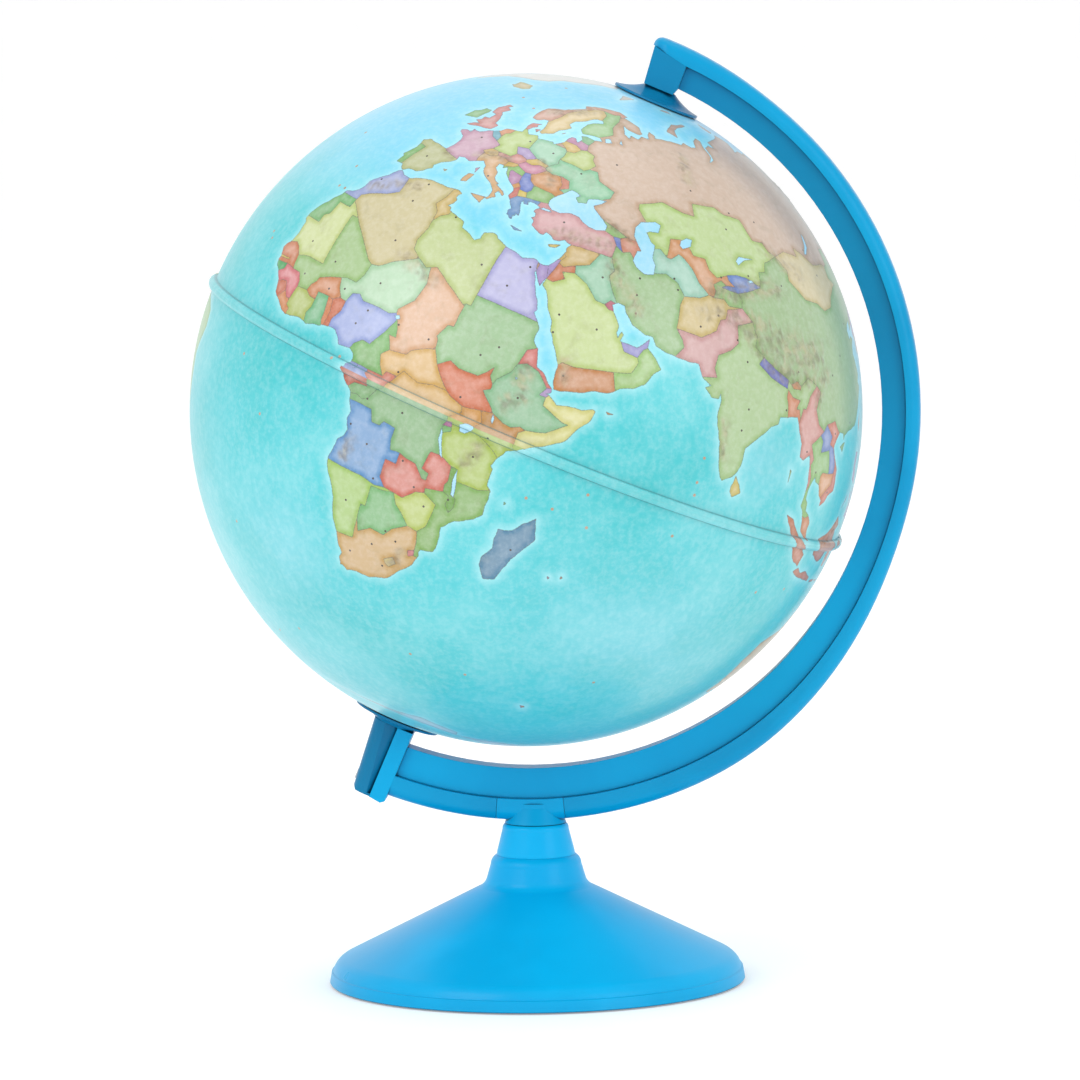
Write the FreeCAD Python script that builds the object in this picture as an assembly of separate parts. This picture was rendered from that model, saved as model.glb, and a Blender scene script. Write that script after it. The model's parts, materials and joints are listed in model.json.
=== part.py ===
"""A desktop globe: a hollow plastic ball on a tilted polar axis, in a C-shaped arm on a weighted foot.

The row frame stands on the table: origin under the middle of the foot, +Z up, arm in the XZ plane at +X.
Everything at the poles is drawn in the polar frame, whose origin is the ball's centre and whose +Z is the
axis of spin towards north, and is then tilted into place. Lengths are in millimetres, angles in degrees.
"""

import FreeCAD
import Part

import math
import os

from FreeCAD import Placement, Rotation, Vector

# Driving dimensions.
BALL_R = 130.0
BALL_WALL = 1.3
BALL_CENTRE_X, BALL_CENTRE_Z = -1.4, 223.0
AXIS_TILT = 23.5
BEAD_HEIGHT = 2.3
BEAD_HALF_WIDTH = 2.1

INNER_R_TOP, INNER_R_FOOT = 137.6, 138.9
ARM_WIDTH = 11.0
ARM_WALL = 2.2
SEAM_R_TOP, SEAM_R_FOOT = 146.8, 150.8
RIM_R_TOP, RIM_R_FOOT = 152.4, 159.4
NOSE_RISE, NOSE_RISE_END = 1.0, 20.0
THICKENING = (81.5, 131.5)
RIM_WIDTH = 16.0
RIM_ROUND = 4.6
RIB_WIDTH, RIB_DEPTH = 6.2, 2.6

PIN_R = 2.0
PIN_RUNNING_GAP = 0.06
PIN_INNER_END = 121.0
POLE_HOLE_R = 5.0
CAP_R = 17.0
CAP_GAP = 0.5
CAP_RIM = 0.9
WASHER_R, WASHER_THICK = 6.0, 1.0
WASHER_LOW = BALL_R + 0.25

FOOT_R = 80.9
FOOT_WALL = 2.4
NECK_HOLE_R = 13.0
NECK_TOP_Z = 62.3
STEM_R, STEM_FLAT, STEM_END_Z = 9.0, 7.8, 43.2
BOLT_R = 3.0
PAD_INNER_R, PAD_OUTER_R = 69.5, 76.0

# Places worked out from them.
FOOT_ANGLE = 180.0 - AXIS_TILT
POLAR = Placement(Vector(BALL_CENTRE_X, 0, BALL_CENTRE_Z), Rotation(Vector(0, 1, 0), AXIS_TILT))
SOUTH_UP = Placement(Vector(0, 0, 0), Rotation(Vector(0, 1, 0), 180))
UP = Vector(0, 0, 1)


def polar_point(angle, radius):
    """A point of the arm's plane in the polar frame, by its angle from north."""
    a = math.radians(angle)
    return Vector(radius * math.sin(a), 0, radius * math.cos(a))


def arc_point(radius, r):
    """(r, s) on a sphere of that radius about the ball's centre."""
    return (r, math.sqrt(radius * radius - r * r))


def turned(outline):
    """A solid of revolution about Z.

    outline is a closed list of (r, z), where ("arc", through, end) bends to end.
    """
    edges, last = [], outline[0]
    for step in outline[1:] + [outline[0]]:
        here = Vector(last[0], 0, last[1])
        if step[0] == "arc":
            through, end = step[1], step[2]
            bend = Part.Arc(here, Vector(through[0], 0, through[1]), Vector(end[0], 0, end[1]))
            edges.append(bend.toShape())
            last = end
        elif step != last:
            edges.append(Part.LineSegment(here, Vector(step[0], 0, step[1])).toShape())
            last = step
    return Part.Face(Part.Wire(edges)).revolve(Vector(0, 0, 0), UP, 360)


def cylinder(r, z0, z1, x=0.0, y=0.0):
    return Part.makeCylinder(r, z1 - z0, Vector(x, y, z0))


def slab(points, half_width):
    """A flat outline in the XZ plane, made as thick as twice half_width, evenly about that plane."""
    corners = [Vector(x, -half_width, z) for x, z in points]
    return Part.Face(Part.makePolygon(corners + corners[:1])).extrude(Vector(0, 2 * half_width, 0))


def around(radius, angles):
    """Places evenly round Z, as (x, y)."""
    return [(radius * math.cos(math.radians(a)), radius * math.sin(math.radians(a))) for a in angles]


def smooth(t):
    t = min(max(t, 0.0), 1.0)
    return t * t * (3 - 2 * t)


def growing(top, foot):
    """A radius law for the arm: top down to the first angle of THICKENING, foot from the second on."""
    start, end = THICKENING
    return lambda angle: top + (foot - top) * smooth((angle - start) / (end - start))


inner_radius = growing(INNER_R_TOP, INNER_R_FOOT)
seam_radius = growing(SEAM_R_TOP, SEAM_R_FOOT)


def rim_radius(angle):
    """The strip's outer radius, which rises a little more towards its nose at the north end."""
    return growing(RIM_R_TOP, RIM_R_FOOT)(angle) + NOSE_RISE * (1 - smooth((angle + 3.0) / NOSE_RISE_END))


def band(inner, outer, start, end, half_width):
    """The arm's plane between two radius laws, from start to end degrees off north, as a solid band."""
    steps = max(4, round((end - start) / 9))
    angles = [start + (end - start) * i / steps for i in range(steps + 1)]
    off = Vector(0, -half_width, 0)
    curves = []
    for law in (inner, outer):
        curve = Part.BSplineCurve()
        curve.interpolate([polar_point(a, law(a)) + off for a in angles])
        curves.append(curve.toShape())
    caps = [
        Part.LineSegment(polar_point(a, inner(a)) + off, polar_point(a, outer(a)) + off).toShape()
        for a in (start, end)
    ]
    outline = Part.Wire(Part.__sortEdges__([curves[0], caps[0], curves[1], caps[1]]))
    return Part.Face(outline).extrude(Vector(0, 2 * half_width, 0))


def offset(law, by):
    return lambda angle: law(angle) + by


# --- the ball, in the polar frame, north half first -----------------------------------------------


def hemisphere():
    """Half of the ball with a hole at its pole and half of the raised bead at its equator."""
    shoulder = math.sqrt(BALL_R**2 - BEAD_HALF_WIDTH**2)
    pole = arc_point(BALL_R, POLE_HOLE_R)
    inner_pole = arc_point(BALL_R - BALL_WALL, POLE_HOLE_R)
    inner_r = BALL_R - BALL_WALL
    crest = BALL_R + BEAD_HEIGHT
    half = math.sqrt(0.5)
    return turned([
        (inner_r, 0),
        (crest - 0.25, 0),
        (crest, 0.25),
        ("arc", (shoulder + 0.72 * BEAD_HEIGHT, 0.72 * BEAD_HALF_WIDTH), (shoulder, BEAD_HALF_WIDTH)),
        ("arc", (BALL_R * half, BALL_R * half), pole),
        inner_pole,
        ("arc", (inner_r * half, inner_r * half), (inner_r, 0)),
    ])


def joining_ring():
    """The band glued inside the ball across its equator."""
    outer, inner, reach = BALL_R - BALL_WALL - 0.2, BALL_R - BALL_WALL - 1.5, 6.0
    return turned([(inner, -reach), (outer, -reach), (outer, reach), (inner, reach)])


def bushing():
    """The flanged bush in a polar hole, with a bore that runs on the pivot pin."""
    bore = PIN_R + PIN_RUNNING_GAP
    top, flange_top, flange_bottom, bottom = BALL_R + 0.2, BALL_R - BALL_WALL - 0.45, 126.6, 120.0
    return turned([
        (bore, bottom),
        (4.2, bottom),
        (POLE_HOLE_R, bottom + 0.8),
        (POLE_HOLE_R, flange_bottom),
        (9.5, flange_bottom),
        (9.5, flange_top),
        (POLE_HOLE_R, flange_top),
        (POLE_HOLE_R, top),
        (bore, top),
    ])


def washer():
    """The low-friction washer in the cap over a bush."""
    low = WASHER_LOW
    return turned([
        (PIN_R + PIN_RUNNING_GAP, low),
        (WASHER_R, low),
        (WASHER_R, low + WASHER_THICK),
        (PIN_R + PIN_RUNNING_GAP, low + WASHER_THICK),
    ])


# --- the poles, in the polar frame, north end first -----------------------------------------------


def polar_cap(neck_r, top):
    """The flared cap over a pole, just clear of the ball, recessed for the washer and bored for the pin."""
    under = BALL_R + CAP_GAP
    recess_r = WASHER_R + 0.5
    recess_top = WASHER_LOW + WASHER_THICK
    rim_low, rim_high = arc_point(under, CAP_R), arc_point(under + CAP_RIM, CAP_R)
    edge = arc_point(under, recess_r)
    middle = (rim_low[0] + edge[0]) / 2
    flare = ((CAP_R + neck_r) / 2 - 0.6, (rim_high[1] + top) / 2 - 0.5)
    return turned([
        (PIN_R, recess_top),
        (recess_r, recess_top),
        edge,
        ("arc", arc_point(under, middle), rim_low),
        rim_high,
        ("arc", flare, (neck_r, top)),
        (PIN_R, top),
    ])


def pivot_pin(outer_end):
    """A steel pin on the axis with a chamfer at both ends."""
    bevel = 0.5
    return turned([
        (0, PIN_INNER_END),
        (PIN_R - bevel, PIN_INNER_END),
        (PIN_R, PIN_INNER_END + bevel),
        (PIN_R, outer_end - bevel),
        (PIN_R - bevel, outer_end),
        (0, outer_end),
    ])


NORTH_CAP_TOP, NORTH_NECK_R, NORTH_PIN_END = 134.6, 6.0, 145.0
SOUTH_CAP_TOP, SOUTH_NECK_R, SOUTH_PIN_END = 132.8, 8.4, 146.0

# Outlines of the arm's end blocks in the polar frame, as (x, z).
NORTH_BLOCK = [(-6.6, NORTH_CAP_TOP), (5.2, NORTH_CAP_TOP), (6.2, 137.6), (5.9, 146.6), (-8.3, 149.2)]
CLIP_SEAM_X = PIN_R
SOUTH_BLOCK = [(CLIP_SEAM_X, -132.8), (8.3, -132.8), (8.3, -161.4), (6.8, -162.6), (CLIP_SEAM_X, -162.0)]
SOUTH_CLIP = [(-8.1, -132.8), (CLIP_SEAM_X, -132.8), (CLIP_SEAM_X, -162.0), (-4.2, -162.0), (-5.5, -160.4)]
CLIP_HALF_WIDTH = 7.2
CLIP_SCREW_HEIGHTS = (-150.2, -156.4)
CLIP_SCREW_R, CLIP_HEAD_R, CLIP_HEAD_DEPTH = 1.1, 2.2, 1.6


def clip_screw(z, radius, head_radius, start=-4.6, end=7.0):
    """One self-tapping screw along X, its head in the clip's outer side."""
    along = Vector(1, 0, 0)
    shank = Part.makeCylinder(radius, end - start, Vector(start, 0, z), along)
    head = Part.makeCylinder(head_radius, CLIP_HEAD_DEPTH, Vector(start - CLIP_HEAD_DEPTH, 0, z), along)
    return shank.fuse(head).removeSplitter()


def south_clip():
    """The tapered, rounded half of the south end that clamps the lower pin against the arm's flat end."""
    body = slab(SOUTH_CLIP, CLIP_HALF_WIDTH)
    outer_edges = [
        e
        for e in body.Edges
        if e.Length > 20 and all(v.Point.x < -5 for v in e.Vertexes)
    ]
    body = body.makeFillet(5.2, outer_edges)
    # The flank next to the seam leans back, deeper at the pole end than at the outer end.
    flank = [
        (CLIP_SEAM_X + 1, -132),
        (CLIP_SEAM_X - 5.2, -132),
        (CLIP_SEAM_X - 1.6, -161),
        (CLIP_SEAM_X + 1, -161),
    ]
    for side in (-1, 1):
        near, deep = side * CLIP_HALF_WIDTH, side * (CLIP_HALF_WIDTH - 1.6)
        low = [Vector(x, near + side, z) for x, z in (flank[1], flank[2])]
        high = [Vector(CLIP_SEAM_X + 0.01, deep, z) for z in (-132, -161)]
        out = [Vector(CLIP_SEAM_X + 0.01, near + side, z) for z in (-132, -161)]
        start = [Vector(flank[1][0], near, -132), Vector(flank[2][0], near, -161)]
        rails = []
        for i in (0, 1):
            ring = [start[i], high[i], out[i], low[i]]
            rails.append(Part.makePolygon(ring + ring[:1]))
        body = body.cut(Part.makeLoft(rails, True, True))
    slot = Part.makeCylinder(PIN_R, 14.0, Vector(0, 0, -146.0))
    throat = Part.makeBox(CLIP_SEAM_X + 1, 2 * PIN_R, 14.0, Vector(0, -PIN_R, -146.0))
    body = body.cut(slot.fuse(throat))
    for z in CLIP_SCREW_HEIGHTS:
        start = -4.6
        hole = clip_screw(z, CLIP_SCREW_R, CLIP_HEAD_R, start)
        well = Part.makeCylinder(CLIP_HEAD_R, 6, Vector(start - 6, 0, z), Vector(1, 0, 0))
        body = body.cut(hole.fuse(well))
    return body


# --- the arm --------------------------------------------------------------------------------------


def foot_boss(spread=0.0):
    """The cone under the arm that meets the neck, in the row frame. spread makes it larger, as a cutter."""
    low, high = NECK_TOP_Z + 0.1, 69.5
    return Part.makeCone(12.0 + spread, 8.6 + spread, high - low, Vector(0, 0, low))


def stem():
    """The round stem with two flats that keys the arm into the neck, in the row frame."""
    body = cylinder(STEM_R, STEM_END_Z, NECK_TOP_Z + 8)
    span = Part.makeBox(2 * STEM_FLAT, 40, 60, Vector(-STEM_FLAT, -20, STEM_END_Z - 5))
    return body.common(span)


LONG_TROUGH = (7.0, FOOT_ANGLE - 7.5)
SHORT_TROUGH = (FOOT_ANGLE + 7.5, 173.5)
SADDLE_ANGLE = 4.9
SADDLE_SEAM = 0.05


def meridian_arm():
    """The moulded C-shaped arm: an outward-open channel, a block at each end, a saddle and boss below."""
    first, last = 1.5, 177.0
    body = band(inner_radius, seam_radius, first, last, ARM_WIDTH / 2)
    for start, end in (LONG_TROUGH, SHORT_TROUGH):
        floor = offset(inner_radius, ARM_WALL)
        hollow = band(floor, offset(seam_radius, 1.0), start, end, ARM_WIDTH / 2 - ARM_WALL)
        body = body.cut(hollow)
    for block in (NORTH_BLOCK, SOUTH_BLOCK):
        body = body.fuse(slab(block, RIM_WIDTH / 2))
    half = SADDLE_ANGLE - SADDLE_SEAM
    body = body.fuse(rim_strip(FOOT_ANGLE - half, FOOT_ANGLE + half))
    body = body.cut(cylinder(PIN_R, 130.0, NORTH_PIN_END))
    for z in CLIP_SCREW_HEIGHTS:
        body = body.cut(clip_screw(z, CLIP_SCREW_R, CLIP_HEAD_R))
    body.Placement = POLAR
    below_arm = cylinder(20, 0, BALL_CENTRE_Z - INNER_R_FOOT - 1)
    body = body.fuse(foot_boss().common(below_arm)).fuse(stem())
    body = body.cut(cylinder(INSERT_R, STEM_END_Z - 1, INSERT_TOP))
    return body.removeSplitter()


def rim_strip(start, end):
    """One stretch of the crowned strip round the arm's outside."""
    strip = band(seam_radius, rim_radius, start, end, RIM_WIDTH / 2)
    crown = []
    for e in strip.Edges:
        long_way = e.Length > 25
        outside = all(
            abs(Vector(v.Point.x, 0, v.Point.z).Length - rim_radius(polar_angle(v.Point))) < 0.05
            for v in e.Vertexes
        )
        if long_way and outside:
            crown.append(e)
    return strip.makeFillet(RIM_ROUND, crown)


def rim_cover(start, end, trough):
    """A strip that closes the arm's channel, with the rib that locates it in a trough."""
    strip = rim_strip(start, end)
    rib_start, rib_end = trough[0] + 0.4, trough[1] - 0.4
    rib = band(offset(seam_radius, -RIB_DEPTH), offset(seam_radius, 0.4), rib_start, rib_end, RIB_WIDTH / 2)
    return strip.fuse(rib)


def polar_angle(p):
    return math.degrees(math.atan2(p.x, p.z))


def nose_trim():
    """What is cut off the strip past the pole, so that its end is round in plan and bull-nosed."""
    r, low, high = RIM_WIDTH / 2, 140.0, 165.0
    kept = turned([(0, low), (r, low), (r, 150.6), ("arc", (r - 0.8, 152.3), (r - 3.2, 153.3)), (0, 153.9)])
    kept.translate(Vector(NOSE_CENTRE_X, 0, 0))
    corner_x, corner_z = NORTH_BLOCK[-1]
    beside = Part.makeBox(30, 40, corner_z - low, Vector(corner_x - 30, -20, low))
    return Part.makeBox(30, 40, high - low, Vector(NOSE_CENTRE_X - 30, -20, low)).cut(kept).fuse(beside)


NOSE_CENTRE_X = -1.2


def long_rim_cover():
    """From the nose over the north block down to the saddle."""
    strip = rim_cover(-3.6, FOOT_ANGLE - SADDLE_ANGLE, LONG_TROUGH)
    strip = strip.cut(slab(NORTH_BLOCK, RIM_WIDTH / 2 + 1))
    strip = strip.cut(nose_trim())
    strip.Placement = POLAR
    return largest(strip.cut(foot_boss(0.02)))


def short_rim_cover():
    """From the saddle to the flat of the south block."""
    strip = rim_cover(FOOT_ANGLE + SADDLE_ANGLE, 179.0, SHORT_TROUGH)
    strip = strip.cut(slab(SOUTH_BLOCK, RIM_WIDTH / 2 + 1))
    strip.Placement = POLAR
    return largest(strip.cut(foot_boss(0.02)))


def largest(shape):
    return max(shape.Solids, key=lambda s: s.Volume)


INSERT_R, INSERT_TOP = 4.2, STEM_END_Z + 12.0


def threaded_insert():
    """The brass insert in the stem that takes the base bolt."""
    outline = [(BOLT_R, STEM_END_Z), (INSERT_R, STEM_END_Z), (INSERT_R, INSERT_TOP), (BOLT_R, INSERT_TOP)]
    return turned(outline)


# --- the foot, in the row frame -------------------------------------------------------------------

SOLE_Z = 0.6
COVER_LOW, COVER_HIGH = 1.0, 3.4
BALLAST_LOW, BALLAST_HIGH = 5.4, 10.0
BALLAST_PLACES = around(42.0, (90, 210, 330))
COVER_PLACES = around(63.0, (30, 150, 270))
COLLAR_FLOOR_LOW, COLLAR_FLOOR_HIGH = 37.6, 40.6


def foot_shell():
    """The moulded foot: a low rim with a lip, a shallow cone and a short collar, open underneath."""
    wall = FOOT_WALL
    shell = turned([
        (FOOT_R - wall, SOLE_Z),
        (FOOT_R - 0.3, SOLE_Z),
        (FOOT_R, SOLE_Z + 0.4),
        (FOOT_R - 0.7, 5.0),
        (FOOT_R - 1.3, 5.3),
        ("arc", (FOOT_R - 2.7, 8.1), (FOOT_R - 5.5, 10.4)),
        (22.0, 37.4),
        ("arc", (20.4, 38.7), (19.4, 40.4)),
        (17.7, 46.2),
        ("arc", (17.0, 48.4), (15.4, 49.9)),
        (NECK_HOLE_R, 49.9),
        (NECK_HOLE_R, COLLAR_FLOOR_HIGH),
        (BOLT_R + 0.3, COLLAR_FLOOR_HIGH),
        (BOLT_R + 0.3, COLLAR_FLOOR_LOW),
        (15.2, COLLAR_FLOOR_LOW),
        (20.0, 35.6),
        (FOOT_R - 8.4, 9.2),
        ("arc", (FOOT_R - 4.6, 6.7), (FOOT_R - wall - 0.8, 4.2)),
    ])
    under = turned([(0, 3.4), (FOOT_R - 7.0, 3.4), (FOOT_R - 7.0, 9.0), (21.0, 36.2), (0, 36.2)])
    ballast_bosses = [(place, 4.2, BALLAST_HIGH) for place in BALLAST_PLACES]
    cover_bosses = [(place, 3.6, COVER_HIGH) for place in COVER_PLACES]
    for (x, y), r, low in ballast_bosses + cover_bosses:
        shell = shell.fuse(cylinder(r, low, 34.0, x, y).common(under))
    for x, y in BALLAST_PLACES:
        shell = shell.cut(cylinder(SCREW_R, BALLAST_HIGH, BALLAST_HIGH + 7.0, x, y))
    for x, y in COVER_PLACES:
        shell = shell.cut(cylinder(SCREW_R, COVER_HIGH, COVER_HIGH + 7.0, x, y))
    return shell.removeSplitter()


SCREW_R, SCREW_HEAD_R = 1.4, 3.0


def pan_screw(x, y, head_low, head_height, length):
    """A self-tapping screw standing on its head, with a cross recess in it."""
    head = cylinder(SCREW_HEAD_R, head_low, head_low + head_height, x, y)
    shank = cylinder(SCREW_R, head_low + head_height, head_low + head_height + length, x, y)
    screw = head.fuse(shank).removeSplitter()
    for length_x, length_y in ((3.4, 0.8), (0.8, 3.4)):
        corner = Vector(x - length_x / 2, y - length_y / 2, head_low)
        screw = screw.cut(Part.makeBox(length_x, length_y, 0.8, corner))
    return screw


def ballast_plate():
    """The iron ring that keeps the globe from tipping, screwed up under the cone."""
    plate = turned([(22.0, BALLAST_LOW), (55.0, BALLAST_LOW), (55.0, BALLAST_HIGH), (22.0, BALLAST_HIGH)])
    for x, y in BALLAST_PLACES:
        plate = plate.cut(cylinder(SCREW_R + 0.4, BALLAST_LOW, BALLAST_HIGH, x, y))
    return plate


def bottom_cover():
    """The plate that closes the foot, with a groove for the anti-slip ring and wells for its screws."""
    cover = turned([
        (0, COVER_LOW),
        (PAD_INNER_R, COVER_LOW),
        (PAD_INNER_R, COVER_LOW + 1.0),
        (PAD_OUTER_R, COVER_LOW + 1.0),
        (PAD_OUTER_R, COVER_LOW),
        (FOOT_R - FOOT_WALL - 0.4, COVER_LOW),
        (FOOT_R - FOOT_WALL - 1.0, COVER_HIGH),
        (0, COVER_HIGH),
    ])
    for x, y in COVER_PLACES:
        cover = cover.cut(cylinder(SCREW_HEAD_R + 0.2, COVER_LOW, COVER_LOW + 1.3, x, y))
        cover = cover.cut(cylinder(SCREW_R + 0.3, COVER_LOW, COVER_HIGH, x, y))
    return cover


def anti_slip_ring():
    top = COVER_LOW + 1.0
    return turned([(PAD_INNER_R, 0), (PAD_OUTER_R, 0), (PAD_OUTER_R, top), (PAD_INNER_R, top)])


def neck_sleeve():
    """The tapered neck between the foot's collar and the arm, bored to the stem's keyed shape."""
    floor = COLLAR_FLOOR_HIGH
    sleeve = turned([
        (BOLT_R + 0.3, floor),
        (NECK_HOLE_R, floor),
        (NECK_HOLE_R, 49.9),
        (15.3, 49.9),
        (15.1, 51.2),
        (12.9, 60.0),
        ("arc", (12.5, 61.5), (11.4, NECK_TOP_Z)),
        (BOLT_R + 0.3, NECK_TOP_Z),
    ])
    socket = cylinder(STEM_R, STEM_END_Z, NECK_TOP_Z + 1)
    span = Part.makeBox(2 * STEM_FLAT, 40, 60, Vector(-STEM_FLAT, -20, STEM_END_Z - 5))
    return sleeve.cut(socket.common(span))


BOLT_SEAT_Z, BASE_WASHER_R = COLLAR_FLOOR_LOW - 1.6, 11.0


def base_washer():
    return turned([
        (BOLT_R + 0.3, BOLT_SEAT_Z),
        (BASE_WASHER_R, BOLT_SEAT_Z),
        (BASE_WASHER_R, COLLAR_FLOOR_LOW),
        (BOLT_R + 0.3, COLLAR_FLOOR_LOW),
    ])


def base_bolt():
    """The hexagon-headed bolt that pulls the arm's stem down through the neck."""
    across_corners, head = 5.77, 4.0
    corners = []
    for turn in range(0, 360, 60):
        a = math.radians(turn)
        x, y = across_corners * math.cos(a), across_corners * math.sin(a)
        corners.append(Vector(x, y, BOLT_SEAT_Z - head))
    hexagon = Part.Face(Part.makePolygon(corners + corners[:1])).extrude(Vector(0, 0, head))
    return hexagon.fuse(cylinder(BOLT_R, BOLT_SEAT_Z, INSERT_TOP - 1.0)).removeSplitter()


def placed(shape, placement):
    """The shape carried by the placement, whatever placement it had before."""
    moved = shape.copy()
    moved.Placement = placement.multiply(moved.Placement)
    return moved


def north(shape):
    return placed(shape, POLAR)


def south(shape):
    return placed(shape, POLAR.multiply(SOUTH_UP))


PARTS = {
    "north_hemisphere": lambda: north(hemisphere()),
    "south_hemisphere": lambda: south(hemisphere()),
    "joining_ring": lambda: north(joining_ring()),
    "north_bushing": lambda: north(bushing()),
    "south_bushing": lambda: south(bushing()),
    "north_washer": lambda: north(washer()),
    "south_thrust_washer": lambda: south(washer()),
    "north_polar_cap": lambda: north(polar_cap(NORTH_NECK_R, NORTH_CAP_TOP)),
    "south_polar_cap": lambda: south(polar_cap(SOUTH_NECK_R, SOUTH_CAP_TOP)),
    "north_pivot_pin": lambda: north(pivot_pin(NORTH_PIN_END)),
    "south_pivot_pin": lambda: south(pivot_pin(SOUTH_PIN_END)),
    "meridian_arm": meridian_arm,
    "long_rim_cover": long_rim_cover,
    "short_rim_cover": short_rim_cover,
    "south_pivot_clip": lambda: north(south_clip()),
    "pivot_clip_screws": lambda: north(
        Part.makeCompound([clip_screw(z, CLIP_SCREW_R, CLIP_HEAD_R) for z in CLIP_SCREW_HEIGHTS])
    ),
    "threaded_insert": threaded_insert,
    "neck_sleeve": neck_sleeve,
    "foot_shell": foot_shell,
    "base_washer": base_washer,
    "base_bolt": base_bolt,
    "ballast_plate": ballast_plate,
    "ballast_screws": lambda: Part.makeCompound(
        [pan_screw(x, y, BALLAST_LOW - 1.8, 1.8, 10.0) for x, y in BALLAST_PLACES]
    ),
    "bottom_cover": bottom_cover,
    "cover_screws": lambda: Part.makeCompound(
        [pan_screw(x, y, COVER_LOW, 1.3, 8.0) for x, y in COVER_PLACES]
    ),
    "anti_slip_ring": anti_slip_ring,
}


os.makedirs("parts", exist_ok=True)
for name, make in PARTS.items():
    shape = make()
    solids = shape.Solids
    print(f"{name}: {len(solids)} solid(s), valid {shape.isValid()}, {shape.Volume:.0f} mm3")
    shape = solids[0] if len(solids) == 1 else Part.makeCompound(solids)
    shape.exportStep(f"parts/{name}.step")
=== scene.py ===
import json
import math

import bpy
import numpy as np
from mathutils import Matrix, Vector, kdtree, noise
from mathutils.geometry import delaunay_2d_cdt


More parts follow.
